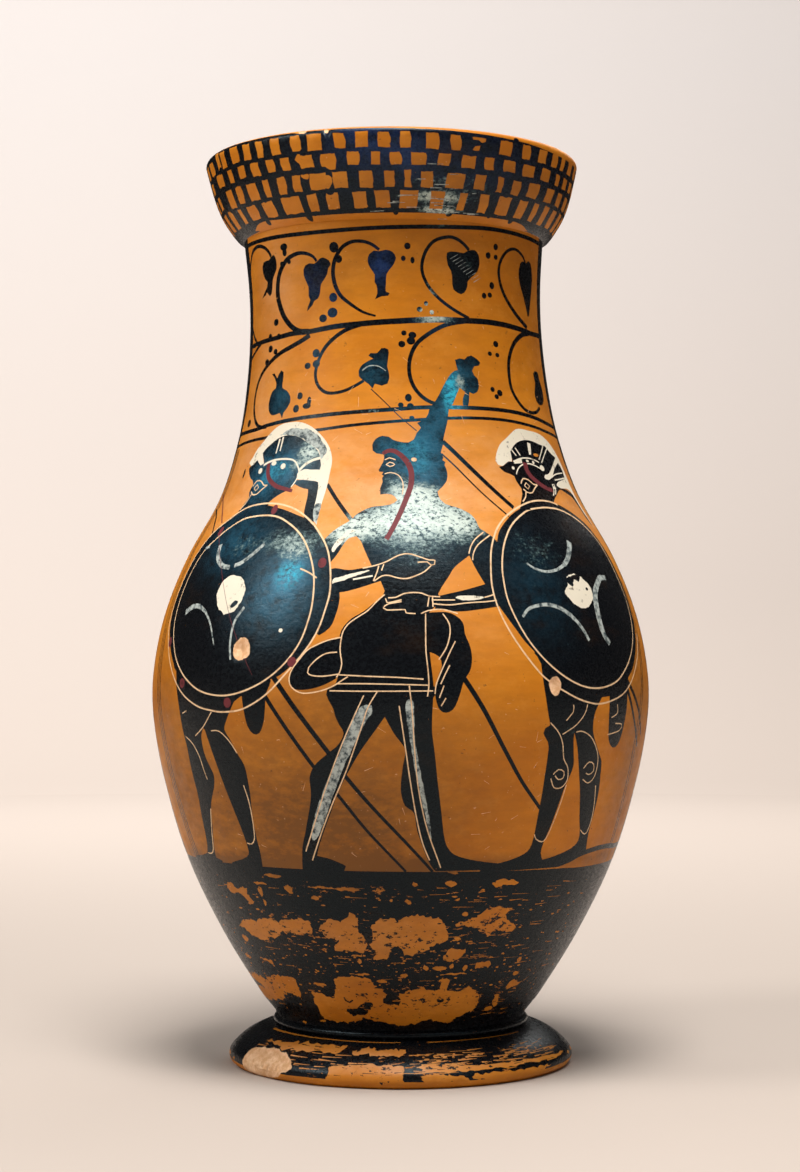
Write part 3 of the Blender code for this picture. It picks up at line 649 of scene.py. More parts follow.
    for a, z, across, up in [(-50.9, 181.8, 1.0, 0.9), (-44.8, 183.8, 1.2, 0.7),
                             (-40.3, 182.7, 1.1, 0.9)]:
        dot(CREAM, a, z, across, up)
    line(RED, 1.6, (-47.4, 183.9), (-46.8, 181.3), (-45.6, 179.4), (-43.7, 178), (-40.9, 176.6),
         (-38.1, 175.9), (-34.2, 175), end=1.0)
    helmet_eye(-50.3, 176.6)
    line(INCISED, 0.35, (-51.7, 175), (-52, 174), (-52.9, 172.2), (-54.4, 170.2))
    dot(GLOSS, -61, 181.6, 0.6, 1.5)
    line(INCISED, 0.5, *LEFT_RIM[2::-1], *LEFT_RIM[-2:-6:-1])
    dot(RED, -38.6, 169.5, 1.1, 1.5)
    # cut lines on the legs
    for cut in [
        [(-56.2, 102.7), (-53.4, 100.5), (-51.5, 96.9), (-50.7, 93.4), (-49.9, 90.2)],
        [(-52, 103), (-48.6, 105.8), (-45.4, 110.2)],
        [(-56.7, 109.5), (-54.8, 110.3)],
        [(-46, 104.7), (-43.3, 104.6), (-40.5, 101.9), (-38.5, 98.4)],
        [(-37.9, 89.1), (-37.1, 84.1), (-37, 78.5), (-37.5, 73.5), (-38.8, 71.8), (-40.2, 72)],
        [(-57.8, 67.8), (-56.2, 67.7), (-54.5, 69.2), (-53, 74.2), (-51, 81.5)],
    ]:
        line(INCISED, 0.34, *cut)


def helmet_eye(a, z):
    """The eye opening of a closed helmet: a drop-shaped cut line round a ringed eye."""
    line(INCISED, 0.4, (a - 2.3, z + 0.6), (a - 0.8, z + 2.2), (a + 1.6, z + 1.9), (a + 3.2, z + 0.7),
         (a + 5, z + 0.6))
    line(INCISED, 0.4, (a + 5, z + 0.6), (a + 2.9, z - 0.7), (a + 1.2, z - 2), (a - 1, z - 1.9),
         (a - 2.1, z - 1))
    line(INCISED, 0.35, (a - 1.1, z), (a, z + 1), (a + 1.1, z), (a, z - 0.9), (a - 1.1, z))


def paint_archer():
    """An archer in a tall cap, walking right and looking back to the left."""
    # quiver, legs, bundle at the hip, tunic, torso and arms
    area(GLOSS, (5.5, 137.6), (8.1, 138.9), (11, 138.7), (13.1, 137), (13.9, 135.1), (14, 132.8),
         (15, 129.3), (15.3, 125.8), (14.8, 122.4), (13.4, 119.6), (12.7, 116.6), (11.9, 113.6),
         (11, 111.4), (9.5, 110.5), (8.1, 111.5), (7.3, 114.7), (7.2, 117.6), (7.9, 120.8), (8.7, 123.9),
         (8.1, 126.4), (6.2, 127.6), (5.4, 128))
    area(GLOSS, (-14.2, 118), (-14.1, 111.1), (-13.2, 107.6), (-12.1, 104.7), (-13.4, 101.4), (-15.6, 99.1),
         (-18.9, 95.5), (-20.3, 92), (-20.3, 88.4), (-20.8, 84.1), (-22.7, 76.3), (-24.1, 71.4),
         (-25, 65, 0), (-14, 65, 0), (-13.4, 66.4), (-17.3, 68.4), (-20.5, 69.2, 0), (-19.4, 72.8),
         (-16.2, 81.3), (-14, 87.7), (-11.2, 94.1), (-8.5, 99.8), (-5.8, 104.7), (-3.3, 109.4, 0),
         (-1.4, 104.7), (0.2, 101.9), (1, 99.8), (0.5, 95.5), (0.1, 91.2), (0.1, 87.7), (1, 84.1), (3, 82),
         (3.8, 77), (5.7, 70.7), (7.4, 66.6), (8.6, 65, 0), (21, 65, 0), (24.8, 66.8, 0), (20.4, 67.5),
         (16.1, 68.5), (12.8, 69.9), (11.1, 72.1), (10.1, 75.6), (9, 84.1), (8.1, 91.2), (7.3, 99.1),
         (6.6, 106.2), (6.8, 114.7), (6.9, 118))
    area(GLOSS, (-13, 131.9, 0), (-15.7, 131.2), (-18.2, 129.9), (-20.4, 128.2), (-22, 125.8),
         (-23.7, 122.8), (-24.3, 120.5), (-24, 118.3), (-22.6, 117), (-20, 117), (-17.6, 117.7),
         (-15.3, 118.9), (-13.4, 120.4, 0), (-12, 126))
    area(GLOSS, (-3.6, 146, 0), (-3.6, 143.9), (-5.3, 142.2), (-8.2, 139.1), (-10.7, 137.2), (-12.4, 134.9),
         (-13.2, 132.4), (-13.1, 128), (-13.2, 121), (-14.4, 116.8, 0), (7, 116.6, 0), (6.7, 121),
         (6.2, 127.4), (6, 134), (6.2, 138.6), (8, 141), (8.4, 144.6), (3, 149))
    area(GLOSS, (-0.8, 171.6), (-3, 170.2), (-4.8, 169.9), (-8.2, 169.5), (-10.7, 168.3), (-12.3, 167.2),
         (-13.6, 165.5), (-16.1, 163.9), (-18.6, 161.6), (-20.6, 158.6, 0), (-18, 152, 0), (-16, 155),
         (-14.4, 158.5), (-13.2, 160.3), (-11.3, 160.8, 0), (-10, 159.3), (-9, 157), (-7.8, 154.3),
         (-6.9, 152.2, 0), (-9, 151.6), (-12.3, 151), (-15.7, 151.6), (-17.6, 151, 0), (-17, 145.4, 0),
         (-14, 144.6), (-10.7, 145.4), (-7.3, 146.7), (-4.6, 147.8, 0), (-3.6, 145), (-3, 143),
         (8.1, 143, 0), (9.3, 145.8), (11.4, 149.3), (13.1, 152), (17, 155.3, 0), (18.1, 151.6),
         (19.9, 147, 0), (15.2, 145.4), (11, 144.2), (8.1, 143.4, 0), (7.6, 139.9, 0), (12.7, 139.1),
         (17.7, 139.7), (23.4, 140.8, 0), (23, 150), (25.4, 159.2, 0), (24.3, 160.9), (22.5, 162.4),
         (21.2, 163.4), (20.8, 165.3), (19.9, 167.1), (18.1, 168.5), (15.6, 169.6), (12.8, 170.4),
         (11.5, 171.8), (11, 174.2), (12.4, 175.4), (14.2, 177.4), (14.8, 179.9), (14.2, 182.1),
         (13.2, 184), (-1, 186), (0, 175))
    # tall cap
    area(GLOSS, (22.4, 210.9), (19.6, 209.6), (17.4, 207.1), (15.3, 204.2), (13.5, 201.7), (11, 199.2),
         (10.3, 197.4), (9.2, 195.9), (6.3, 194.7, 0), (7.5, 193.3), (6, 191.7), (4.9, 189.7), (3.1, 188.8),
         (0.3, 189), (-1.9, 189.6), (-3.3, 190.5), (-5.4, 190.8), (-7.6, 189.9), (-8.7, 188.1),
         (-8.5, 186.4), (-7.2, 185.5), (-5, 185.2), (0, 183), (13.3, 183), (13.5, 186), (14.6, 188.5),
         (14.9, 190.3), (16, 193.1), (17.1, 196), (17.8, 198.9), (19.6, 200.8), (21.2, 203.5),
         (22.6, 205.6), (24.4, 208.6))
    # a plain bearded profile
    area(GLOSS, (-4.9, 186, 0), (-4.8, 184.2), (-5.1, 183), (-6.5, 180.5), (-6.2, 180), (-5, 180),
         (-5.5, 179.2), (-4.9, 178.8), (-5.4, 178.2), (-5.2, 177), (-5.9, 175), (-5.8, 173.2, 0),
         (-3.4, 173.4), (-1.6, 172.6), (-0.6, 171, 0), (4, 171, 0), (4, 186, 0))
    line(INCISED, 0.3, (-4.2, 182.2), (-3, 182.9), (-1.5, 182.2), (-3, 181.6), (-4.2, 182.2))
    line(INCISED, 0.3, (-4.6, 183.6), (-3.2, 184.2), (-1.2, 183.6))
    line(INCISED, 0.3, (-4.6, 179.4), (-2.8, 179.8), (-0.4, 179), (0.9, 176.6), (0.6, 173.2))
    line(RED, 1.0, (-5.3, 185.4), (-3.6, 186.3), (-1.5, 186.2), (0.6, 184.9), (2.6, 182.8), end=1.7)
    line(RED, 1.7, (2.6, 182.8), (3.5, 180.3), (3.5, 177.8), (3.1, 175.6), (2.1, 173.1), (0.8, 169.9),
         (-0.8, 166), (-2.4, 162.4), (-3.6, 159.9), end=1.4)
    dot(CHIP, 4.6, 183.7, 0.9, 0.6)
    # cream: arm bands, scabbard straps
    area(CREAM, (-11.8, 162.6), (-13.3, 161.4), (-15.6, 158), (-16.9, 156.3), (-17.4, 157.6),
         (-15.6, 160.4), (-13.4, 162.6), rough=0.3)
    area(CREAM, (-16, 147.3), (-15.8, 148.4), (-14, 149.3), (-11.5, 150), (-7.4, 150.9), (-9, 149.8),
         (-11.5, 148.9), (-13.6, 148), rough=0.25)
    line(CREAM, 0.5, (-11.1, 148.3), (-6.5, 149.3))
    area(CREAM, (12.4, 143.1), (13.9, 143.7), (17.2, 143.6), (19.3, 143.2), (17.2, 142.4), (14.3, 142.3),
         rough=0.2)
    area(FADED, (-8.8, 111.6), (-6.3, 112.8), (-5.9, 110.6), (-7.6, 107.4), (-9.8, 101.7), (-12.5, 94.6),
         (-15.2, 86.8), (-17.9, 79), (-20.1, 74.3), (-21.4, 74.6), (-19.9, 80.8), (-17.2, 88.6),
         (-13.9, 97.1), (-11.2, 104.9), rough=0.25)
    area(FADED, (1.1, 113.2), (1.9, 114.2), (2.7, 113.2), (2.8, 109.7), (3.2, 101.2), (4.7, 91.2),
         (6.4, 81.3), (7.4, 74.2), (6.9, 74.8), (5.3, 82.7), (3.4, 92.7), (2, 102.6), (1.2, 109.7),
         rough=0.25)
    cuts = [
        # bundle at the hip
        [(-12.8, 131.8), (-15.7, 131), (-18.2, 129.7), (-20.3, 128.2), (-21.9, 125.8), (-23.6, 122.8),
         (-24.2, 120.5), (-24, 118.5), (-23, 117), (-21.1, 116), (-18.6, 116.2), (-16.1, 117), (-14, 118.2),
         (-12.3, 119.7), (-11.1, 120.7)],
        [(-13.6, 127.6), (-16.1, 127.2), (-18.2, 125.5), (-19.8, 123.2), (-20, 121.8), (-19, 121),
         (-16.5, 120.8), (-13.2, 121.4)],
        [(-12.8, 131.8), (-13, 128.9), (-12.8, 126.6), (-12.5, 124.3), (-13, 121.6), (-13.6, 120.5)],
        # tunic
        [(-3.6, 143.9), (-5.3, 142), (-7.3, 139.3), (-9.8, 137.2), (-11.5, 135.5), (-12.5, 133.5),
         (-12.8, 131.8)],
        [(-13, 121.2), (-6.9, 120.8), (-0.7, 120.5), (4.8, 120)],
        [(-13.6, 118.7), (-6.9, 118.7), (0.6, 118.5), (5.8, 118.3)],
        [(-15, 116.7), (-6.9, 116.6), (6.8, 116.7)],
        [(5.5, 138.5), (5.4, 133.5), (5.4, 127.8), (5.8, 122), (5.9, 118.2), (5.6, 115.1)],
        # hand and forearm from the left
        [(-9, 151.5), (-5.7, 152.4), (-3.2, 153.5), (-0.7, 155.1), (1.8, 155.7), (4.3, 154.9), (6.8, 153.9),
         (8.3, 153.8), (8.1, 152.6), (7.3, 152.4), (6.4, 153.3), (4.1, 153.2)],
        [(7.3, 152.3), (5.6, 150.5), (3.5, 149.3), (1.4, 148.5), (-0.7, 148.7), (-2.8, 149.4),
         (-4.4, 149.2), (-6.1, 147.8)],
        [(-5.2, 152.2), (-5.5, 150.5), (-6.3, 147.8)],
        [(-4, 152.6), (-4.5, 150.8)],
        # hand and forearm from the right
        [(-2.8, 143), (-1.1, 143.1), (0.6, 144.1), (2.7, 144.5), (4.8, 144.3), (6.4, 143.5), (8.9, 143.3)],
        [(-3.4, 142.8), (-3, 141.6), (0.2, 142.4)],
        [(0.2, 141.9), (-2.8, 141.2), (-3.8, 140.1), (-3, 139.5), (1, 139.6), (1.2, 138.7), (3.3, 138.5)],
        [(6.4, 143.2), (6, 140.5)],
        [(7.2, 143.2), (7.2, 140.4)],
        [(7, 142.4), (12.3, 142.4)],
        [(19.3, 143.2), (20.6, 143.6), (22, 144.2)],
        [(7.2, 141.3), (11, 141), (15.2, 141.6), (19.8, 142), (22.2, 142.4)],
        [(4.5, 138.5), (6, 139.3), (8.1, 139.7), (10.2, 139.5), (12.7, 138.5)],
        # sleeve edges
        [(17, 155.8), (17.7, 157.8), (19.3, 160.1), (22, 162.2)],
        [(17.7, 153.9), (18.1, 155.8), (19.8, 158.5), (23.7, 161.4)],
        # quiver
        [(9.3, 138.5), (10.6, 135.8), (10.7, 132.8), (9.8, 128.9), (8.1, 125.5)],
        [(11.8, 130.7), (10.6, 127.8), (9.2, 124), (8.1, 120.8), (7.4, 118.2), (7.2, 115.8)],
        [(10.4, 123.9), (9.4, 121.4), (8.4, 118.6)],
        [(9.1, 118.2), (8.1, 114.7)],
        [(9.5, 114.7), (8.5, 112.4)],
        # leg straps
        [(-7.7, 115.4), (-10.2, 108.3), (-12.9, 100.5), (-16.7, 89.1), (-20.5, 77.8), (-23.3, 70.4)],
        [(-4.9, 116.4), (-6.9, 111.8), (-8.5, 105.4), (-11.8, 94.1), (-15.6, 84.1), (-19.4, 74.2),
         (-21.9, 67.8)],
        [(-0.3, 112.5), (0.8, 102.6), (2.1, 91.2), (3.5, 81.3), (5.1, 73.5), (7, 68.2)],
        [(1.8, 118.2), (2.4, 111.1), (3, 99.8), (4, 88.4), (6.2, 77), (9.8, 66)],
    ]
    for cut in cuts:
        line(INCISED, 0.36, *cut)


def paint_overlap():
    """The left shield's edge, where it passes in front of the archer's arms."""
    line(INCISED, 0.5, *LEFT_RIM[-4:-10:-1])
    dot(RED, -19.2, 153.2, 1.1, 1.5)


def paint_right_warrior():
    """A warrior walking in from the right behind a round shield."""
    # legs and scabbard
    area(GLOSS, (31, 128), (31.5, 125.3), (32, 118.2), (33.1, 110.4), (33.8, 106.6), (32.6, 105.8),
         (32.2, 104.4), (33.1, 102.6), (33.9, 100.5), (33.8, 92.7), (33.7, 85.6), (33.5, 78.5),
         (33.4, 74.2), (32.8, 70.7), (30.4, 68.7), (24.9, 66.9), (20, 66.6, 0), (20, 64.4, 0),
         (44, 64.6, 0), (49, 66), (53.9, 68.2, 0), (53, 72.1), (52.7, 75.6), (53, 82), (52.9, 87),
         (52.2, 92), (51.7, 95.5), (50, 98.3), (48.4, 101.2), (47, 104.7), (47, 109), (48.4, 112.5),
         (50.6, 116.1), (52, 119), (50, 124))
    area(CLAY, (41, 104.2, 0), (42.4, 99.8), (44, 92.7), (45.7, 86.3), (47.3, 79.2), (48.7, 74.9),
         (49, 72.1), (46.8, 69.9), (41.3, 68), (37.6, 67.2, 0), (36.6, 69.2), (36.7, 72.1), (37.8, 76.3),
         (39.1, 82.7), (40.2, 88.4), (41.3, 92), (41.9, 94.8), (41.3, 99.1), (40.9, 102.6))
    area(GLOSS, (52.8, 120), (52.5, 113.3), (52.6, 107.6), (53.3, 101.9), (55.5, 99.4), (57.7, 100.1),
         (59.3, 104), (60.4, 110.4), (60.7, 115.4), (61, 121))
    # shield
    area(GLOSS, (46.2, 172.4), (37.8, 170.2), (33.2, 168.2), (29.4, 165.4), (26.6, 162.4), (25.2, 159.3, 0),
         (23.4, 157), (22.2, 153), (21.7, 146.6), (22.4, 141.5), (24, 138), (25.8, 134.6), (28, 130.6),
         (30.4, 127.3), (31.5, 124.5), (34, 121.5), (38.4, 118.2), (43, 115.6), (48, 114.4), (54, 115.2),
         (60, 119), (64.6, 122.6), (68.4, 127.6), (71.4, 133), (73.4, 140), (74, 147), (73.2, 154),
         (71, 160), (67.4, 165.4), (62, 168.8), (56, 171.2), (51.9, 172.1))
    line(INCISED, 0.5, *RIGHT_RIM)
    line(INCISED, 0.5, *RIGHT_INNER_RIM)
    area(CREAM, (41.9, 144.8), (43.6, 147.4), (44.4, 149.8), (46.8, 150.6), (49.8, 149.6), (51.8, 147.4),
         (52.2, 144.8), (50.6, 142), (47.2, 140.6), (44, 141.8), rough=0.4)
    area(GLOSS, (43.9, 148.6), (45, 150), (47, 150.4), (49, 149.6), (48, 148.6), (46.6, 149), (45.6, 147.4),
         (44.6, 147), rough=0.7, seed=2)
    dot(GLOSS, 50.4, 146.2, 0.5, 0.5)
    line(FADED, 2.0, (50.3, 160.4), (49, 158), (46.8, 155.1), (44.6, 153.2), end=1.4)
    line(FADED, 1.0, (44.6, 153.2), (41.3, 151.6), (37.5, 151), (34.2, 151.9), (32.4, 153.4), end=0.6)
    line(FADED, 0.8, (28.2, 137.7), (30.4, 140.2), (34.8, 141.3), (38.6, 140.6), (41.9, 138.5), end=1.3)
    line(FADED, 1.3, (41.9, 138.5), (44.6, 135.3), (46.8, 131), end=1.0)
    line(FADED, 1.4, (61.7, 149.8), (58.8, 149.8), (56.6, 148.4), (54.4, 146.3), (52.9, 143.8),
         (52.2, 140.2), end=2.6)
    line(FADED, 2.6, (52.2, 140.2), (52.2, 136), (52.9, 132.6), (54.6, 130), end=1.7)
    area(CHIP, (33.5, 118.8), (34.2, 120.3), (35.8, 120.6), (36.5, 118.4), (36, 115.8), (34.8, 115.2),
         (33.7, 116.6), rough=0.3)
    # head and helmet
    area(GLOSS, (33.2, 182.2, 0), (35, 182.6), (37.5, 184), (39.3, 184), (39.4, 187.4), (40.9, 188.8),
         (43.4, 190.4), (46.9, 191.3), (50.3, 191.5), (53.8, 191), (57.5, 190.4), (60.5, 189.8),
         (64, 188.2), (67.4, 186.4), (69, 183), (68.4, 180), (66, 178.6), (60.6, 177.2), (64, 177),
         (67, 176.4), (70, 175.4), (71.6, 171), (73, 166, 0), (71, 168), (69.6, 172), (67.8, 174.6),
         (64.4, 175.6), (60.9, 176.6), (58.8, 176.2), (56.6, 175), (54.4, 173.8), (52.5, 172.4), (51, 171),
         (35.8, 169, 0), (37.6, 171.8), (39.4, 174.4), (39.8, 175.9), (39.2, 177), (38.6, 178.2),
         (38.4, 179.6), (36.9, 180.2), (34.7, 180.8))
    area(CREAM, (32.4, 183.9), (33.4, 186.3), (35.6, 189.1), (38.4, 190.8), (41.6, 192.7), (44.4, 194.1),
         (47.5, 194.4), (51.3, 194.1), (55, 193.9), (58.8, 193.3), (62.5, 192), (65.6, 190.3),
         (67.8, 188.4), (69.6, 186.4), (71, 183.4), (71.6, 179.6), (72, 175), (73, 170), (74.6, 165, 0),
         (71.8, 170), (70.6, 174), (69, 176.4), (66.6, 177.2), (64, 177.2), (60.6, 177.1), (58.9, 177.8),
         (60.6, 178.9), (64.4, 179.7), (68.4, 180.4, 0), (69, 183), (67.4, 185.2), (65, 184.5),
         (61.9, 183.1), (59.4, 181.3), (57.2, 180), (55.3, 179.3), (53.4, 179.4), (52.9, 180),
         (53.8, 180.8), (55.9, 181.1), (58.1, 182.2), (61.3, 184.1), (63.8, 185.6), (66.2, 186.8, 0),
         (63.1, 187.8), (61.3, 188.9), (59.7, 189.9), (57.5, 190), (53.8, 190.6), (50.3, 191.1),
         (46.9, 190.9), (43.4, 190), (40.9, 188.4), (39.5, 187.2), (39.4, 185.6), (39.1, 184),
         (37.8, 184.1), (36.3, 183.4), (34.7, 182.5), (33.1, 182.8))
    area(CREAM, (48.9, 190.4), (50.5, 190.1), (49.3, 186.7), (48.3, 186.6))
    area(CREAM, (39.8, 184.4), (41.6, 184.8), (43.8, 185.1), (43.6, 183.8), (41.6, 183.6), (40, 183.4))
    for cut in [
        [(53, 185.3), (56.6, 188.4), (59.4, 190.9)],
        [(54.1, 184.5), (58.1, 187.5), (61.9, 190)],
        [(57.5, 180.2), (61.3, 181.4), (68, 182.2)],
        [(59.1, 179.5), (64, 180.1), (68.4, 180.7)],
        [(40.2, 187.7), (41.7, 185.9)],
        [(42, 188.4), (43.6, 186.1)],
        [(39.7, 184.1), (43.4, 185.2), (46.9, 185.5), (50, 185.2), (52.5, 184.5)],
        [(39.5, 180.2), (40.9, 181.9), (43.4, 183.3), (46.9, 183.8), (50, 183.3), (52.5, 182.5)],
        [(54, 174.5), (55.6, 175.9), (56.2, 178.1)],
        [(55.6, 174.9), (57, 176.4), (57.2, 178.2)],
    ]:
        line(CREAM, 0.4, *cut)
    for a, z, across, up in [(46.4, 184.6, 0.7, 0.4), (49.3, 184.3, 0.6, 0.5),
                             (53.4, 182.8, 1.3, 0.9), (38.9, 182.1, 0.6, 0.5),
                             (56.8, 177, 0.9, 0.5)]:
        dot(CREAM, a, z, across, up)
    dot(CLAY, 52, 186.7, 1.5, 0.5)
    line(RED, 1.9, (45, 184), (44.8, 181.9), (45.9, 180), (48.1, 178.4), (50.3, 177.2), (52.8, 176.4),
         (55, 176.1), end=1.3)
    helmet_eye(42.6, 176.8)
    line(INCISED, 0.4, (41.2, 175), (40.3, 173.4), (38.4, 171.9))
    line(INCISED, 0.5, *RIGHT_RIM[6::-1])
    line(INCISED, 0.5, *RIGHT_INNER_RIM[1::-1], RIGHT_INNER_RIM[-2])
    for cut in [
        [(33.9, 107.4), (36.4, 104.4), (37.8, 101.2), (38.6, 96.9), (40.2, 94.1), (40.6, 90.5),
         (39.1, 88.4), (36.9, 88.5), (35.6, 91.2)],
        [(36.1, 92.3), (37.5, 93.7), (39.2, 93), (39.2, 91.2), (37.8, 90.8), (36.7, 92)],
        [(45.4, 93.7), (47, 95.5), (48.8, 94.8), (49.1, 92.7), (47.6, 91.8), (46.5, 92.3)],
        [(45.7, 90.5), (47.9, 89.3), (49.8, 90.9), (50.3, 94.8), (49.5, 98.3), (46.8, 102.6), (43.5, 104.6),
         (41.5, 104.4)],
        [(40.6, 89.1), (39.7, 83.4), (38.3, 77), (37.2, 73.5), (36.1, 72.6), (34.2, 73.5), (33.5, 74.9)],
        [(51.1, 88.4), (52.2, 82.7), (52.5, 77.8), (51.7, 74.2), (50.3, 74.2), (48.9, 75.3)],
        [(38.3, 107.9), (40.2, 110.4), (40.2, 112.4)],
        [(37.5, 103.9), (41.3, 106.5), (43.8, 109.7), (44.6, 112.4)],
        [(53.6, 108.3), (56.1, 109.7), (55.8, 112.2)],
        [(52.6, 103.3), (57.7, 104.4), (58.5, 106.2), (55.5, 106.5)],
    ]:
        line(INCISED, 0.34, *cut)


def paint_scratches():
    """Fine pale scratches and nicks across the panel."""
    random.seed(41)
    for i in range(150):
        a = random.gauss(6, 26)
        z = random.uniform(70, 215)
        turn = random.gauss(0, 0.8)
        length = random.uniform(0.4, 3.0)
        line(CHIP, random.uniform(0.08, 0.2), (a, z),
             (a + length * math.cos(turn) / girth_scale(z), z + length * math.sin(turn)), end=0.05)


def paint_base_wear():
    """The larger flaked places where the gloss has gone from the base."""
    flakes = [
        [(-56.2, 45.7), (-52.7, 47.3), (-45.8, 48.5), (-39.6, 48.9), (-36.5, 48.5), (-33.5, 49.4),
         (-27.3, 49.6), (-25.8, 47.5), (-26.5, 45.7), (-31.9, 45.3), (-36.5, 45.3), (-40.4, 43.5),
         (-45.8, 42.5), (-51.2, 42.8), (-52.7, 44.4)],
        [(-23.5, 47.5), (-21.2, 49.4), (-16.5, 50), (-14.2, 51.9), (-11.9, 51.4), (-11.9, 48),
         (-11.2, 45.7), (-10, 43.5), (-10.8, 40.7), (-15.8, 40.3), (-20, 40.5), (-20, 42.5), (-18.1, 43.9),
         (-22.7, 44.6)],
        [(-7.3, 49.8), (-4.2, 51), (-0.4, 50), (1.9, 51.2), (5.8, 51.9), (10, 51), (11.9, 49.4),
         (13.1, 47.1), (13.5, 44.4), (10.4, 42.5), (6.5, 40.3), (1.9, 40), (-1.2, 42.1), (-3.5, 40.3),
         (-4.2, 38.5), (-8.1, 38), (-7.3, 40.7), (-9.6, 42.5), (-8.1, 45.3)],
        [(15.8, 49.4), (20.4, 50.5), (24.2, 53), (31.5, 53), (30.4, 51.2), (31.9, 48.9), (35, 47.5),
         (34.2, 45.7), (30.4, 46.2), (28.1, 46.6), (26.2, 44.4), (24.2, 46.6), (20.4, 48), (16.5, 48.2)],
        [(13.5, 39.8), (16.5, 41.2), (20, 40.7), (19.2, 38.5), (15.8, 37.3), (13.8, 38)],
        [(25, 36.6), (29.6, 36.6), (29.6, 34.8), (25, 35)],
        [(-78, 28.5), (-65, 29.4), (-57, 28.4), (-56.9, 29.4), (-48.1, 30.7), (-40, 30.5), (-40.4, 27.1),
         (-42.7, 24.8), (-49.6, 25.3), (-53.5, 22.5), (-67.3, 21.2), (-78, 20.7), (-76, 24.4), (-65, 25.3)],
        [(-34.2, 26.6), (-28.8, 25.7), (-25, 25.7), (-23.5, 29.4), (-22.7, 31.9), (-15.8, 32.3),
         (-11.2, 31.6), (-8.1, 28.9), (-4.6, 27.1), (-6.5, 24.4), (-0.4, 23.5), (-0.4, 27.1), (5, 28.5),
         (7.3, 29.4), (10.4, 27.8), (13.5, 28.9), (13.8, 31.6), (16.5, 31.6), (16.5, 28.9), (20, 27.3),
         (24.2, 28.9), (28.1, 27.5), (31.5, 23.5), (29.6, 20.7), (26.5, 19.8), (21.9, 17.5), (17.3, 17.8),
         (10.4, 18.5), (5, 16.9), (-2.7, 16.9), (-6.5, 18), (-11.9, 18.2), (-15.8, 19.4), (-18.1, 17.5),
         (-25, 17.3), (-33.8, 17.8), (-34.6, 22.5)],
        [(-54.6, 57.1), (-52.7, 58.9), (-50.8, 58.9), (-49.6, 57.1), (-47.3, 58.5), (-45.4, 58.2),
         (-45.4, 55.7), (-44.6, 53.9), (-45.8, 53.2), (-48.8, 55.7), (-51.9, 56.2)],
        [(-31.9, 59.8), (-29.2, 59.8), (-29.2, 58), (-30.8, 57.7)],
        [(24.2, 60.6), (27.2, 62.2), (29, 61.4), (31.2, 60.8), (29.6, 60), (26.2, 60)],
        [(-53.5, 36.2), (-50, 35.7), (-46.9, 36), (-47.4, 34.9), (-50.6, 34.7)],
        [(38.4, 25.2), (40.4, 24.6), (41.6, 22.2), (40.6, 21.2), (38.6, 22.8)],
        [(41.6, 28.2), (44, 29.6), (49.4, 28.8), (52, 29.8), (48, 28), (43.2, 27)],
    ]
    for i, flake in enumerate(flakes):
        area(CLAY, *flake, rough=0.9, seed=11 + 3 * i)
    small = [
        (-40.1, 57.5, 0.8, 1.6), (-40.0, 54.2, 0.5, 1.1), (-34.6, 62.5, 2.8, 0.5),
        (-20.5, 59.7, 3.2, 0.4), (-14, 59.5, 3.4, 0.6), (-5, 59.6, 1.2, 0.5),
        (12.7, 61.2, 1.5, 0.8), (13, 64.4, 1.4, 0.4), (3.5, 61, 0.8, 0.6),
        (-23, 56.4, 1.2, 0.7), (-13.5, 39.1, 1.8, 0.4), (-13, 37.3, 0.8, 0.8),
        (2, 56, 0.9, 0.7), (-2.3, 56.2, 0.6, 0.5), (15, 56.4, 0.8, 0.4),
        (21.5, 58.7, 0.6, 0.6), (16.9, 44.4, 1.3, 0.6), (12.7, 35.3, 2.3, 0.7),
        (16.5, 35.6, 0.8, 0.7), (21.2, 35, 1, 0.8), (8.1, 35.3, 1, 1),
        (17.7, 33.2, 5, 0.3), (-12.6, 33.2, 2.6, 0.3), (1.2, 33, 1.3, 0.7),
        (-62.3, 35.5, 2, 0.7), (-57, 41.6, 1.8, 0.9), (43.5, 31.9, 1.3, 0.6),
        (42, 36.2, 1, 0.8), (37.3, 21, 2, 0.7), (-29.6, 29.4, 2.8, 0.6),
        (-6.4, 31, 1.6, 0.5), (-36, 17, 1.6, 0.4), (-48.4, 15.6, 1.4, 0.4),
        (18, 51.8, 0.9, 0.6), (-6.5, 40.6, 1.2, 1.0), (-39.5, 60, 2.4, 0.4),
    ]
    for i, (a, z, across, up) in enumerate(small):
        area(CLAY, (a - across, z), (a - across * 0.3, z + up), (a + across * 0.7, z + up * 0.7),
             (a + across, z - up * 0.2), (a, z - up), rough=0.45, seed=70 + i)
    area(GLOSS, (-23, 20.8), (-20, 21.8), (-16, 22.8), (-14, 24), (-10.5, 24), (-12, 22), (-14, 20.5),
         (-18, 19.5), (-21, 19.8), rough=0.9, seed=5)
    line(GLOSS, 0.5, (-21.3, 25.6), (-21, 24.6), (-19.6, 24), (-18, 24.8))
    dot(GLOSS, 15, 24.8, 1.4, 0.7)


def scrape(colour, a, z, widest, shortest, longest):
    """A thin stroke to the right, from a place, of a width and length drawn at random."""
    width = random.uniform(0.08, widest)
    far = a + random.uniform(shortest, longest)
    line(colour, width, (a, z), (far, z + random.uniform(-0.2, 0.2)), end=0.05)


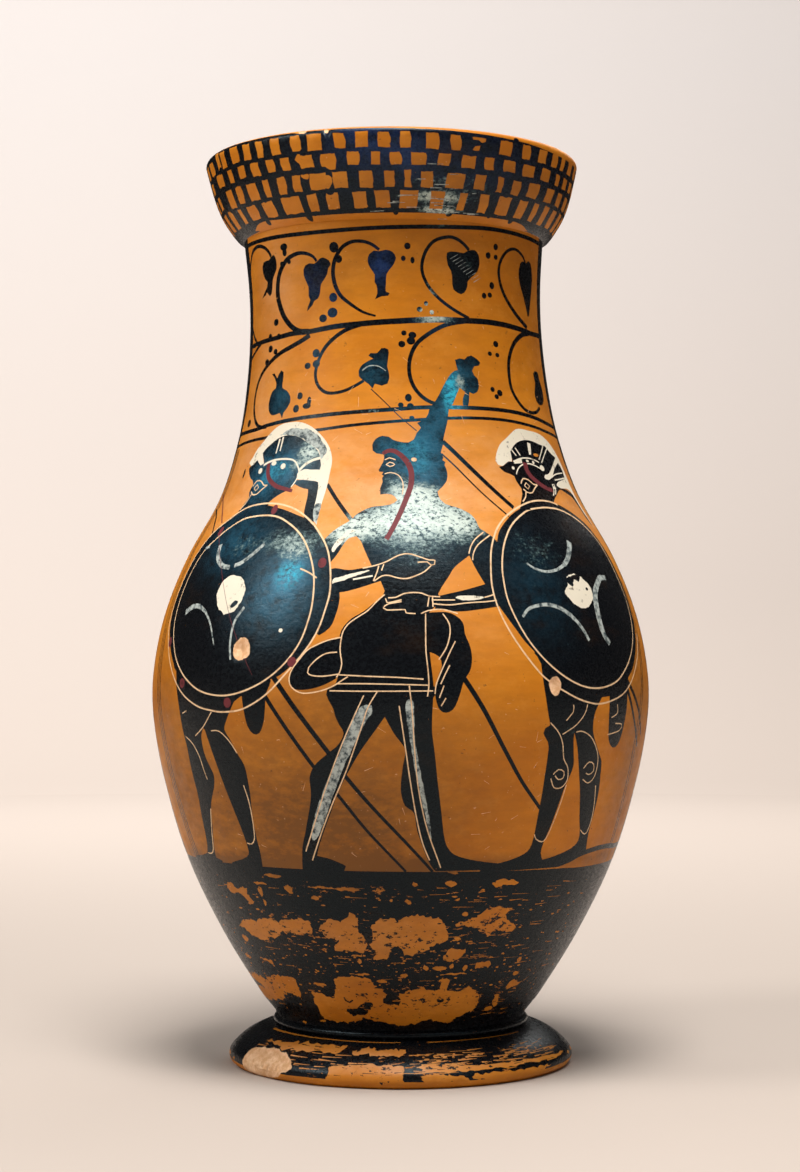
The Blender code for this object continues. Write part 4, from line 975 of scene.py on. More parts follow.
def paint_specks():
    """Scattered small losses and scratches on the base, and a few round the back."""
    random.seed(23)
    for i in range(520):
        a = random.uniform(-66, 62)
        z = random.triangular(16, 64, 38)
        size = random.uniform(0.1, 0.42) ** 1.2 * 0.8
        dot(CLAY if random.random() < 0.75 else GLOSS, a, z, size * random.uniform(0.7, 3.2), size)
    for i in range(130):
        a = random.gauss(26, 16) if i % 2 else random.uniform(-64, 50)
        z = random.uniform(18, 60)
        long = random.uniform(0.8, 6)
        line(CLAY, random.uniform(0.08, 0.34), (a, z), (a + long, z + random.uniform(-0.2, 0.2)),
             end=0.05)
    for i in range(150):
        a = random.uniform(64, 294)
        z = random.triangular(15, 70, 20) if i % 3 else random.uniform(70, 190)
        size = random.uniform(0.1, 0.3)
        dot(CLAY, a if a < 179 else a - 361, z, size * random.uniform(0.7, 3.0), size)


def paint_foot():
    """The foot's black top, worn through in patches, streaks and one large chip."""
    area(GLOSS, (-180, 12.42, 0), (180, 12.42, 0), (180, 2.6, 0), (60, 2.4), (20, 2.2), (0, 2.4),
         (-30, 2.5), (-60, 2.2), (-180, 2.4, 0))
    line(CLAY, 0.25, (-70, 11.9), (-40, 11.95), (-10, 11.9), (0, 11.95), end=0.1)
    line(CLAY, 0.2, (11, 11.9), (30, 11.95), (60, 11.9), end=0.1)
    area(CLAY, (-60, 9.8), (-45, 10.6), (-32, 11.1), (-21, 10.6), (-23.6, 9.5), (-35, 9), (-50, 9.2),
         rough=0.7, seed=2)
    area(CLAY, (-17.3, 10), (-10, 10.7), (0, 10.6), (1, 9.4), (-8, 9), (-15, 9.4), rough=0.7)
    area(CLAY, (-24, 5.8), (-18, 6.5), (-10, 7), (-2, 6.6), (1, 6.6), (0.6, 4), (0, 2), (-10, 1.6),
         (-23, 2), (-23.6, 4), rough=0.5, seed=9)
    area(CLAY, (6, 6.6), (14, 6.8), (25, 6.3), (45, 5.9), (71, 5.5), (66, 4.9), (40, 5), (20, 4.9),
         (10, 5.1), rough=0.45, seed=4)
    area(CLAY, (7, 4.4), (14, 4.3), (20, 3.6), (22, 2.2), (12, 2), (7, 2.2), rough=0.7, seed=6)
    area(CLAY, (24, 3.6), (36, 3.9), (50, 3.6), (58, 3.2), (50, 2.2), (36, 2), (26, 2.1), rough=0.7, seed=8)
    for i in range(34):
        a = -176 + 10.4 * i + random.uniform(-3, 3)
        if abs(a) < 70:
            continue
        z = random.uniform(2.6, 4.4)
        area(CLAY, (a - random.uniform(1, 4), z), (a, z + random.uniform(0.3, 0.9)),
             (a + random.uniform(1, 4), z), (a, z - 0.6), rough=0.5, seed=i)
    for i in range(26):
        a = random.uniform(5, 60)
        dot(CLAY, a, random.uniform(7.6, 9.4), random.uniform(0.3, 1.0), random.uniform(0.1, 0.3))
    for i in range(150):
        a = random.uniform(2, 64) if i % 4 else random.uniform(-66, 0)
        z = random.uniform(4.6, 9.9)
        scrape(CLAY, a, z, 0.42, 1.5, 9)
    for i in range(60):
        a = random.uniform(-62, 60)
        z = random.uniform(3.4, 10.6)
        scrape(GLOSS, a, z, 0.3, 1.0, 5)
    area(CHIP, (-64, 5.5), (-61, 7.8), (-53, 8.7), (-45, 8.2), (-40, 6.6), (-37.5, 5), (-38, 4), (-41, 2.8),
         (-45, 1), (-50, 0.4), (-58, 0.5), (-63, 1.5), rough=0.5, seed=1)


# ---------------------------------------------------------------- building the skin


def inside(ring, x, y):
    """Which of many points lie inside a ring, by the even-odd rule."""
    hit = np.zeros(len(x), bool)
    for (x0, y0), (x1, y1) in zip(ring, ring[1:] + ring[:1]):
        if y0 != y1:
            hit ^= ((y0 > y) != (y1 > y)) & (x < (x1 - x0) * (y - y0) / (y1 - y0) + x0)
    return hit


def grid_points(columns, kept_levels):
    """Staggered places between the paint, in rows clear of the levels that have edges."""
    found = []
    level = 0.0
    odd = 0
    while level < RIM_END - 0.4:
        fine = any(low < level < high for low, high in FINE_BANDS)
        level += FINE_ROW if fine else ROW
        if min(abs(level - kept) for kept in kept_levels) < ROW_CLEARANCE:
            continue
        odd = 1 - odd
        for a in columns[:-1]:
            if odd or a > -180:
                found.append(Vector(((a + COLUMN / 2 * odd) * PLANE_SCALE, level)))
    return found


def build_skin():
    """Triangulates all the paint at once and returns (points, triangles, colours)."""
    places = []
    edges = []
    edge_levels = [0.0, FOOT_TOP, BELLY_JOINT, NECK_JOINT, MOUTH_JOINT, RIM_END]
    columns = [-180 + COLUMN * i for i in range(round(360 / COLUMN) + 1)]

    def put(ring, closed=True):
        start = len(places)
        places.extend(Vector((a * PLANE_SCALE, z)) for a, z in ring)
        edges.extend((start + i, start + i + 1) for i in range(len(ring) - 1))
        if closed:
            edges.append((start + len(ring) - 1, start))

    for level in edge_levels:
        put([(a, level) for a in columns], closed=False)
    for side in (-180, 180):
        put([(side, z) for z in np.linspace(0, RIM_END, round(RIM_END / ROW))], closed=False)
    lowest, highest = PAINT_CLEARANCE, RIM_END - PAINT_CLEARANCE
    shapes = []
    for colour, rings in PAINT:
        kept = [[(a, min(max(z, lowest), highest)) for a, z in ring] for ring in rings]
        for ring in kept:
            put(ring)
        shapes.append((colour, kept))
    places += grid_points(columns, edge_levels)
    out = delaunay_2d_cdt(places, edges, [], 0, SMALLEST_GAP, False)
    points = np.array([(p.x / PLANE_SCALE, p.y) for p in out[0]])
    triangles = np.array(out[2])
    middle = points[triangles].mean(axis=1)
    tints = np.full(len(triangles), CLAY)
    for colour, rings in shapes:
        corners = np.array([corner for ring in rings for corner in ring])
        low, high = corners.min(axis=0), corners.max(axis=0)
        near = np.flatnonzero(((middle >= low) & (middle <= high)).all(axis=1))
        x, y = middle[near].T
        hit = np.zeros(len(near), bool)
        for ring in rings:
            hit |= inside(ring, x, y)
        tints[near[hit]] = colour
    return points, triangles, tints


def ring_quads(rings, sides):
    """Quads between closed rings of points that follow one another."""
    quads = []
    for row in range(rings - 1):
        near = row * sides
        far = near + sides
        for i in range(sides):
            j = (i + 1) % sides
            quads.append((near + i, near + j, far + j, far + i))
    return quads


def turned(outline, sides, lean):
    """Points and quads of a (radius, height) outline turned about an axis that may lean."""
    points = []
    for radius, height in outline:
        for i in range(sides):
            turn = 2 * math.pi * i / sides
            points.append((radius * math.sin(turn) + lean(height), -radius * math.cos(turn), height))
    return points, ring_quads(len(outline), sides)


def new_object(name, coords, faces, materials):
    """A smooth-shaded object in the scene, its corners given in metres."""
    mesh = bpy.data.meshes.new(name)
    mesh.from_pydata(coords, [], faces)
    for material in materials:
        mesh.materials.append(material)
    mesh.shade_smooth()
    piece = bpy.data.objects.new(name, mesh)
    bpy.context.scene.collection.objects.link(piece)
    return piece


# Soft oval patches of wear and of painted light and shade: each is (angle, height, half angle, half height,
# strength)

# where the gloss is milky: mostly a painted highlight, partly worn gloss
BLOOM_AND_HIGHLIGHT = [
    (4, 165.5, 18, 6.5, 0.95), (6, 173, 8, 4, 0.8), (-1, 177, 6, 5, 0.45),
    (17, 165, 6, 4.5, 0.5), (-9, 164, 6, 4, 0.35), (-15, 162, 5, 4, 0.8),
    (16, 253, 9, 2, 0.4), (15, 226, 9, 2.5, 0.8), (14, 235, 5, 5, 0.55),
    (14, 260.5, 13, 2.0, 0.85), (28, 265, 14, 4, 0.35), (34, 272, 14, 4, 0.22),
    (16, 257.2, 8, 1.0, 1.0), (12, 265, 8, 1.5, 0.5), (-30, 187, 6, 4, 0.45),
    (-26, 157, 7, 6, 0.4), (12, 229, 4, 2, 0.7), (23, 207, 3, 4, 0.75),
    (-10, 198.4, 12, 1, 0.5), (-31, 186, 4.5, 4, 0.55), (-32, 160, 8, 5, 0.36),
    (-27, 156, 4, 5, 0.12), (34, 152, 8, 12, 0.22), (38, 132, 9, 8, 0.2),
    (-45, 159, 9, 5, 0.42), (40, 158, 14, 7, 0.25), (-36, 182, 5, 3, 0.45),
    (29, 243, 4, 3, 0.45), (4, 155, 12, 7, 0.36), (50, 140, 12, 12, 0.18),
    (40, 105, 8, 5, 0.3),
]
# where a blue-green reflection of the lights is painted onto the gloss
TEAL_HIGHLIGHT = [
    (9, 190, 9, 9, 0.75), (-2, 188, 8, 4, 0.7), (19.5, 204, 4.5, 8, 1.9),
    (-27, 151, 5, 5, 1.3), (-30, 143, 9, 9, 0.7), (-41, 182, 10, 6, 1.1),
    (-50, 177, 6, 6, 0.6), (-46, 203, 6, 5, 0.6), (-9, 210, 6, 5, 0.5),
    (-5, 241, 6, 6, 0.8), (-34, 238, 7, 7, 0.3), (-24, 230, 5, 5, 0.5),
    (26, 208, 6, 6, 0.4), (-8, 276, 9, 6, 0.5), (-48, 160, 12, 8, 0.45),
    (5, 180, 9, 6, 0.8), (-31, 215, 4, 4, 0.4), (5, 197, 10, 3, 0.4),
    (33, 146, 9, 14, 0.16), (14, 227, 8, 5, 0.5), (0, 158, 20, 6, 0.15),
    (18, 270, 40, 9, 0.22), (5, 272, 6, 5, 0.4),
]
# where the clay is darker: soil, and painted shade where less light falls
SOIL_AND_SHADE = [
    (-14, 74, 24, 20, 0.85), (-50, 80, 26, 28, 0.65), (8, 92, 24, 26, 0.4),
    (-16, 112, 20, 14, 0.5), (0, 262, 60, 9, 0.35), (0, 30, 70, 26, 0.5),
    (20, 214, 24, 16, 0.15), (-22, 240, 16, 16, 0.25), (12, 246, 40, 10, 0.4),
    (36, 268, 36, 9, 0.4), (58, 240, 14, 20, 0.3), (-30, 92, 34, 26, 0.2),
    (67, 110, 9, 52, 0.6), (0, 66, 90, 2.4, 0.9), (-66, 104, 9, 40, 0.35),
]
# where the clay is paler: dust, and a painted sheen where the shoulder faces the lights above
DUST_AND_SHEEN = [
    (-4, 176, 70, 17, 0.9), (-20, 152, 26, 12, 0.5), (-56, 200, 14, 26, 0.6),
    (8, 136, 18, 10, 0.3), (-20, 122, 16, 8, 0.25), (-50, 240, 12, 14, 0.75),
    (-8, 7.4, 60, 3.0, 1.0), (-20, 46, 40, 10, 0.35),
]
# where the gloss has come away in specks
FLAKE = [
    (2, 44, 34, 9, 1.0), (-40, 46, 16, 8, 0.8), (4, 25, 36, 9, 1.0), (-55, 27, 14, 7, 0.9),
    (-10, 59, 42, 3, 0.8), (30, 50, 10, 7, 0.8), (0, 6, 60, 5, 0.9), (45, 25, 14, 10, 0.5),
]
PATCH_TABLES = {"bloom_and_highlight": BLOOM_AND_HIGHLIGHT, "teal_highlight": TEAL_HIGHLIGHT, "soil_and_shade": SOIL_AND_SHADE, "dust_and_sheen": DUST_AND_SHEEN, "flake": FLAKE}

# Where a chip has taken some of the clay away: (angle, height, half angle, half height, mm)
DENTS = [
    (-51, 4.6, 11, 3.6, 0.9), (-27, 280.0, 1.6, 0.9, 0.5), (-19, 279.2, 0.9, 0.9, 0.4),
    (-37, 128.4, 2.1, 2.9, 0.35), (35, 118, 1.3, 2.4, 0.3),
]


def fill_attributes(mesh, places):
    """Writes each point's share of every patch table onto the mesh: wear, soil and dust, and painted
    highlights, reflections and shade.
    """
    places = np.array(places, np.float32)
    for name, table in PATCH_TABLES.items():
        total = np.zeros(len(places))
        for at, above, across, up, strength in table:
            far = ((places[:, 0] - at) / across) ** 2 + ((places[:, 1] - above) / up) ** 2
            total += strength * np.exp(-far)
        layer = mesh.attributes.new(name, "FLOAT", "POINT")
        layer.data.foreach_set("value", total.astype(np.float32))


def dent_depth(a, z):
    """How far the surface lies below the whole wall, in mm, with a rough floor to a chip."""
    reach = 1.2
    depth = 0.0
    for at, above, across, up, deep in DENTS:
        far = math.hypot((a - at) / across, (z - above) / up)
        if far < reach:
            rough = 1 + 0.5 * noise.noise(Vector((a * 0.9, z * 1.1, 3.0)))
            depth += deep * rough * min(1.0, max(0.0, (reach - far) / 0.5))
    return depth


def dented(a, level, normal):
    """(depth, normal) of a point in a chip, the normal tilted by the slope of the chip."""
    depth = dent_depth(a, level)
    if not depth:
        return 0.0, normal
    step = 0.15
    turn = math.radians(a)
    around = dent_depth(a + step / girth_scale(level), level) - depth
    above = dent_depth(a, level + step) - depth
    out, up = math.hypot(normal[0], normal[1]), normal[2]
    tilt = Vector(normal)
    tilt += Vector((math.cos(turn), math.sin(turn), 0.0)) * (around / step)
    tilt += Vector((-up * math.sin(turn), up * math.cos(turn), out)) * (above / step)
    return depth, tuple(tilt.normalized())


def wrap_point(a, level):
    """(place, normal) of a point of the flat drawing on the wall, in mm, with its chips."""
    radius, height, out, up = skin_point(level)
    turn = math.radians(a)
    normal = (out * math.sin(turn), -out * math.cos(turn), up)
    place = (radius * math.sin(turn) + lean_at(height), -radius * math.cos(turn), height)
    depth, tilted = dented(a, level, normal)
    return Vector(place) - depth * Vector(normal), tilted


def skin_piece(name, skin, low, high, lining_outline, paints, lining):
    """One section's painted outside from the skin, with its turned inside added."""
    points, triangles, tints = skin
    middle = points[triangles][:, :, 1].mean(axis=1)
    chosen = np.flatnonzero((middle > low) & (middle < high))
    used, corners = np.unique(triangles[chosen], return_inverse=True)
    faces = [tuple(face) for face in corners.reshape(-1, 3).tolist()]
    coords = []
    normals = []
    for a, level in points[used]:
        place, normal = wrap_point(a, min(max(level, low + JUST_INSIDE), high - JUST_INSIDE))
        coords.append(place)
        normals.append(normal)
    skin_points = len(coords)
    more, quads = turned(lining_outline, RING_SIDES, lean_at)
    coords += more
    faces += [tuple(corner + skin_points for corner in quad) for quad in quads]
    piece = new_object(name, [Vector(c) * MM for c in coords], faces, [*paints, lining])
    mesh = piece.data
    slots = tints[chosen].tolist() + [len(paints)] * len(quads)
    mesh.polygons.foreach_set("material_index", slots)
    mesh.update()
    places = points[used].tolist()
    places += [(math.degrees(math.atan2(x, -y)), z) for x, y, z in more]
    fill_attributes(mesh, places)
    found = np.empty(len(mesh.vertices) * 3, np.float32)
    mesh.vertices.foreach_get("normal", found)
    normals += [tuple(n) for n in found.reshape(-1, 3)[skin_points:].tolist()]
    mesh.normals_split_custom_set_from_vertices(normals)
    return piece


# ---------------------------------------------------------------- materials


def new_material(name):
    material = bpy.data.materials.new(name)
    material.use_nodes = True
    tree = material.node_tree
    return material, tree, tree.nodes["Principled BSDF"]


def add_noise(tree, size, detail=4.0, flat=1.0, rough=0.6):
    """Noise with features of a size in mm, flat times finer up the vessel than round it."""
    coordinates = tree.nodes.new("ShaderNodeTexCoord")
    mapping = tree.nodes.new("ShaderNodeMapping")
    mapping.inputs["Scale"].default_value = (1.0, 1.0, flat)
    pattern = tree.nodes.new("ShaderNodeTexNoise")
    pattern.inputs["Scale"].default_value = 1 / MM / size
    pattern.inputs["Detail"].default_value = detail
    pattern.inputs["Roughness"].default_value = rough
    tree.links.new(coordinates.outputs["Object"], mapping.inputs["Vector"])
    tree.links.new(mapping.outputs["Vector"], pattern.inputs["Vector"])
    return pattern.outputs["Fac"]


def height_of(tree):
    """The height of the shaded point, in metres."""
    coordinates = tree.nodes.new("ShaderNodeTexCoord")
    split = tree.nodes.new("ShaderNodeSeparateXYZ")
    tree.links.new(coordinates.outputs["Object"], split.inputs["Vector"])
    return split.outputs["Z"]


def ramp(tree, source, low, high, from_value=0.0, to_value=1.0):
    """Maps low..high of a value to from_value..to_value, clamped."""
    node = tree.nodes.new("ShaderNodeMapRange")
    node.inputs["From Min"].default_value = low
    node.inputs["From Max"].default_value = high
    node.inputs["To Min"].default_value = from_value
    node.inputs["To Max"].default_value = to_value
    tree.links.new(source, node.inputs["Value"])
    return node.outputs["Result"]


def combine(tree, operation, first, second):
    node = tree.nodes.new("ShaderNodeMath")
    node.operation = operation
    for socket, value in zip(node.inputs, (first, second)):
        if isinstance(value, (int, float)):
            socket.default_value = value
        else:
            tree.links.new(value, socket)
    return node.outputs[0]


def times(tree, first, second):
    return combine(tree, "MULTIPLY", first, second)


def plus(tree, first, second):
    return combine(tree, "ADD", first, second)


def mix_colour(tree, share, first, second):
    """The first colour where share is 0 and the second where it is 1."""
    node = tree.nodes.new("ShaderNodeMix")
    node.data_type = "RGBA"
    tree.links.new(share, node.inputs["Factor"])
    for socket, value in ((node.inputs[6], first), (node.inputs[7], second)):
        if isinstance(value, tuple):
            socket.default_value = (*value, 1.0)
        else:
            tree.links.new(value, socket)
    return node.outputs[2]


def attribute(tree, name):
    node = tree.nodes.new("ShaderNodeAttribute")
    node.attribute_name = name
    return node.outputs["Fac"]


def add_bump(tree, shader, height, strength, distance):
    node = tree.nodes.new("ShaderNodeBump")
    node.inputs["Strength"].default_value = strength
    node.inputs["Distance"].default_value = distance
    tree.links.new(height, node.inputs["Height"])
    tree.links.new(node.outputs["Normal"], shader.inputs["Normal"])


def clay_material():
    """Orange clay: cloudy, streaked from the wheel, darker in places from soil and painted shade, paler in
    others from dust and a painted sheen.
    """
    material, tree, shader = new_material("clay")
    cloud = ramp(tree, add_noise(tree, 36, 5, 1.4), 0.36, 0.66)
    base = mix_colour(tree, cloud, (0.60, 0.188, 0.007), (0.76, 0.275, 0.016))
    streak = ramp(tree, add_noise(tree, 14, 5, 4.0), 0.42, 0.66)
    base = mix_colour(tree, times(tree, streak, 0.4), base, (0.47, 0.150, 0.009))
    rosy = ramp(tree, add_noise(tree, 9, 6, 1.5, 0.7), 0.52, 0.68)
    base = mix_colour(tree, times(tree, rosy, 0.35), base, (0.80, 0.33, 0.05))
    # paler patches: dust, and a painted sheen on the shoulder
    pale = ramp(tree, add_noise(tree, 11, 6, 1.8, 0.7), 0.36, 0.62, 0.25, 0.75)
    pale = times(tree, pale, attribute(tree, "dust_and_sheen"))
    base = mix_colour(tree, pale, base, (0.86, 0.44, 0.20))
    # darker patches: soil, and painted shade
    soil_and_shade = attribute(tree, "soil_and_shade")
    grain = ramp(tree, add_noise(tree, 5, 6, 2.0, 0.7), 0.35, 0.6, 0.65, 1.0)
    base = mix_colour(tree, times(tree, soil_and_shade, grain), base, (0.205, 0.080, 0.016))
    speck = ramp(tree, add_noise(tree, 1.2, 3), 0.69, 0.73)
    base = mix_colour(tree, times(tree, speck, 0.45), base, (0.80, 0.50, 0.27))
    grime = ramp(tree, add_noise(tree, 1.7, 5, 1.3), 0.67, 0.72)
    base = mix_colour(tree, times(tree, grime, 0.7), base, (0.10, 0.04, 0.014))
    kept_gloss = times(tree, attribute(tree, "flake"), 0.17)
    kept_gloss = plus(tree, kept_gloss, add_noise(tree, 2.1, 6, 1.6, 0.65))
    base = mix_colour(tree, ramp(tree, kept_gloss, 0.735, 0.75), base, (0.010, 0.009, 0.009))
    tree.links.new(base, shader.inputs["Base Color"])
    rough = ramp(tree, add_noise(tree, 4, 4), 0.3, 0.7, 0.34, 0.54)
    tree.links.new(rough, shader.inputs["Roughness"])
    shader.inputs["Specular IOR Level"].default_value = 0.22
    add_bump(tree, shader, add_noise(tree, 2.4, 5), 0.12, 0.0006)
    return material


def gloss_material():
    """Black gloss: brownish where thin, flaked where worn, with painted blue-green reflections, and milky
    patches that are mostly painted highlight and partly worn gloss.
    """
    material, tree, shader = new_material("black_gloss")
    mottle = add_noise(tree, 4.0, 7, 1.2, 0.7)
    fine = add_noise(tree, 1.3, 6, 1.3, 0.75)
    streak = add_noise(tree, 3.6, 7, 2.4, 0.78)
    brown = ramp(tree, add_noise(tree, 22, 5, 2.0), 0.55, 0.75)
    base = mix_colour(tree, brown, (0.0045, 0.0050, 0.0065), (0.016, 0.009, 0.006))
    # painted blue-green reflection, its hue changing with height
    teal_highlight = times(tree, attribute(tree, "teal_highlight"), ramp(tree, mottle, 0.30, 0.56))
    high = ramp(tree, height_of(tree), 0.212, 0.236)
    iridescent = mix_colour(tree, high, (0.026, 0.128, 0.208), (0.022, 0.050, 0.160))
    base = mix_colour(tree, teal_highlight, base, iridescent)
    # painted highlight: bright cyan where the blue-green is strongest
    lit = ramp(tree, attribute(tree, "teal_highlight"), 0.85, 1.6)
    lit = times(tree, lit, ramp(tree, fine, 0.42, 0.58))
    base = mix_colour(tree, lit, base, (0.04, 0.46, 0.64))
    # milky patches: mostly a painted highlight, partly worn gloss
    worn = times(tree, plus(tree, streak, fine), 0.5)
    cover = times(tree, attribute(tree, "bloom_and_highlight"), 0.52)
    milky = ramp(tree, plus(tree, worn, cover), 0.70, 1.02)
    fleck = ramp(tree, add_noise(tree, 1.3, 6, 1.5, 0.72), 0.41, 0.49, 0.15, 1.0)
    milky = times(tree, milky, fleck)
    tint = mix_colour(tree, milky, (0.045, 0.140, 0.155), (0.62, 0.70, 0.63))
    base = mix_colour(tree, ramp(tree, milky, 0.0, 0.55), base, tint)
    lost = times(tree, attribute(tree, "flake"), 0.135)
    lost = plus(tree, lost, add_noise(tree, 3.0, 8, 3.0, 0.70))
    lost = ramp(tree, lost, 0.705, 0.72)
    base = mix_colour(tree, lost, base, (0.50, 0.175, 0.030))
    tree.links.new(base, shader.inputs["Base Color"])
    rough = ramp(tree, fine, 0.36, 0.64, 0.14, 0.42)
    rough = plus(tree, rough, times(tree, lost, 0.35))
    tree.links.new(rough, shader.inputs["Roughness"])
    shader.inputs["Specular IOR Level"].default_value = 0.21
    shader.inputs["Specular Tint"].default_value = (0.68, 0.90, 1.0, 1.0)
    relief = plus(tree, mottle, times(tree, fine, 0.4))
    wheel = add_noise(tree, 9, 3, 9.0, 0.5)
    relief = plus(tree, relief, times(tree, wheel, 0.25))
    add_bump(tree, shader, relief, 0.28, 0.0007)
    return material


def worn_paint(name, colour, under, low, high, rough, size=2.2):
    """Added colour, rubbed through in places to what lies under it."""
    material, tree, shader = new_material(name)
    rub = ramp(tree, add_noise(tree, size, 6, 1.0, 0.7), low, high)
    tree.links.new(mix_colour(tree, rub, under, colour), shader.inputs["Base Color"])
    shader.inputs["Roughness"].default_value = rough
    shader.inputs["Specular IOR Level"].default_value = 0.2
    return material


def plain_material(name, colour, rough):
    material, _, shader = new_material(name)
    shader.inputs["Base Color"].default_value = (*colour, 1.0)
    shader.inputs["Roughness"].default_value = rough
    return material


def paint_materials(clay, gloss):
    """The materials of the skin's colours, in their order."""
    return [
        clay,
        gloss,
        worn_paint("cream", (0.84, 0.77, 0.62), (0.20, 0.17, 0.12), 0.34, 0.42, 0.7),
        worn_paint("faded_cream", (0.47, 0.52, 0.49), (0.035, 0.055, 0.065), 0.38, 0.56, 0.65, 1.7),
        worn_paint("dark_red", (0.165, 0.030, 0.036), (0.08, 0.02, 0.02), 0.32, 0.46, 0.6),
        worn_paint("cut_line", (0.86, 0.60, 0.36), (0.52, 0.30, 0.15), 0.30, 0.50, 0.7),
        worn_paint("bare_chip", (0.93, 0.62, 0.38), (0.72, 0.40, 0.20), 0.42, 0.62, 0.85),
    ]


# ---------------------------------------------------------------- handle, fillet


def rounded(share, half):
    """A place across a round-cornered section, share being the turn's cosine or sine."""
    return half * math.copysign(abs(share) ** 0.8, share)


def handle_stations():
    """Places along the middle line of the handle."""
    path = [Vector(point) for point in HANDLE_PATH]
    stations = []
    for i in range(len(path) - 1):
        before = path[max(i - 1, 0)]
        after = path[min(i + 2, len(path) - 1)]
        for step in range(HANDLE_STEPS):
            start, leave, end, arrive = cubic_weights(step / HANDLE_STEPS)
            stations.append(
                start * path[i]
                + leave * (path[i + 1] - before) / 2
                + end * path[i + 1]
                + arrive * (after - path[i]) / 2
            )
    stations.append(path[-1])
    return stations


def make_handle(material):
    """The strap handle, swept along its path, with a low rib on its outer face."""
    stations = handle_stations()
    turns = [2 * math.pi * k / HANDLE_SIDES for k in range(HANDLE_SIDES)]
    coords = []
    for i, point in enumerate(stations):
        ahead = stations[min(i + 1, len(stations) - 1)] - stations[max(i - 1, 0)]
        ahead.normalize()
        # 0 in the middle of the strap and 1 at its ends, where it spreads onto the wall
        share = abs(2 * i / (len(stations) - 1) - 1)
        wide = HANDLE_WIDTH * (1 + 0.35 * share**4 + 0.5 * share**24)
        thick = HANDLE_THICKNESS * (1 + 0.45 * share**16)
        for turn in turns:
            across = rounded(math.cos(turn), wide / 2)
            outward = rounded(math.sin(turn), thick / 2)
            if outward > 0:
                outward += RIB_HEIGHT * math.exp(-((across / RIB_HALF_WIDTH) ** 2))
            height = point.y + ahead.x * outward
            place = (across + lean_at(height), point.x - ahead.y * outward, height)
            coords.append(Vector(place) * MM)
    faces = ring_quads(len(stations), HANDLE_SIDES)
    faces.append(tuple(reversed(range(HANDLE_SIDES))))
    faces.append(tuple(range(len(coords) - HANDLE_SIDES, len(coords))))
    piece = new_object("strap_handle", coords, faces, [material])
    fill_attributes(piece.data, [(180, c.z / MM) for c in coords])
    rubbed = [0.75 * abs(math.cos(turn)) ** 8 for turn in turns] * len(stations)
    piece.data.attributes["flake"].data.foreach_set("value", rubbed)
    return piece


def make_fillet(material):
    """The bead of clay round the seam of body and foot."""
    bpy.ops.mesh.primitive_torus_add(
        major_segments=192,
        minor_segments=16,
        major_radius=FILLET_RADIUS * MM,
        minor_radius=FILLET_ROUND * MM,
        location=(0, 0, FILLET_HEIGHT * MM),
    )
    piece = bpy.context.object
    piece.name = "fillet_bead"
    mesh = piece.data
    mesh.shade_smooth()
    mesh.materials.append(material)
    around = [math.degrees(math.atan2(v.co.x, -v.co.y)) for v in mesh.vertices]
    fill_attributes(mesh, [(a, FILLET_HEIGHT) for a in around])
    return piece


# ---------------------------------------------------------------- camera, light, floor


def set_camera():
    camera = bpy.data.cameras.new("camera")
    camera.sensor_fit = "VERTICAL"
    camera.sensor_height = CAMERA_SENSOR
    camera.lens = CAMERA_LENS
    camera.shift_x, camera.shift_y = CAMERA_SHIFT
    holder = bpy.data.objects.new("camera", camera)
    holder.location = CAMERA_PLACE
    holder.rotation_euler = (math.radians(90), 0.0, 0.0)
    bpy.context.scene.collection.objects.link(holder)
    bpy.context.scene.camera = holder


def stage_material(name):
    """Pale paint, a little warmer and darker at the floor than high on the wall: painted shade where the
    light falls off low down.
    """
    material, tree, shader = new_material(name)
    high = ramp(tree, height_of(tree), 0.0, 0.9)
    tree.links.new(mix_colour(tree, high, FLOOR_PAINT, WALL_PAINT), shader.inputs["Base Color"])
    shader.inputs["Roughness"].default_value = 0.9
    shader.inputs["Specular IOR Level"].default_value = 0.1
    return material


def round_stage(name, outline, material):
    """A pale surface all round the vessel, its outline given as (radius, height) in metres."""
    coords, faces = turned(outline, STAGE_SIDES, lambda height: 0.0)
    piece = new_object(name, coords, faces, [material])
    return piece


def set_stage():
    """A pale floor, and a pale wall all round that doesn't mirror in the gloss."""
    paint = stage_material("stage_paint")
    round_stage("floor", [(0.001, 0.0), (0.6, 0.0), (FLOOR_REACH, 0.0)], paint)
    rows = []
    for i in range(COVE_STEPS + 1):
        turn = math.radians(90 * i / COVE_STEPS)
        rows.append((FLOOR_REACH + COVE * math.sin(turn), COVE - COVE * math.cos(turn)))
    rows.append((FLOOR_REACH + COVE, WALL_TOP))
    wall = round_stage("wall", rows, paint)
    wall.visible_glossy = False
    wall.visible_diffuse = False
    wall.visible_shadow = False


def add_light(name, place, target, size, power, colour, size_y=None):
    light = bpy.data.lights.new(name, "AREA")
    light.energy = power
    light.color = colour
    light.size = size
    if size_y:
        light.shape = "RECTANGLE"
        light.size_y = size_y
    holder = bpy.data.objects.new(name, light)
    holder.location = place
    aim = Vector(target) - Vector(place)
    holder.rotation_euler = aim.to_track_quat("-Z", "Y").to_euler()
    bpy.context.scene.collection.objects.link(holder)


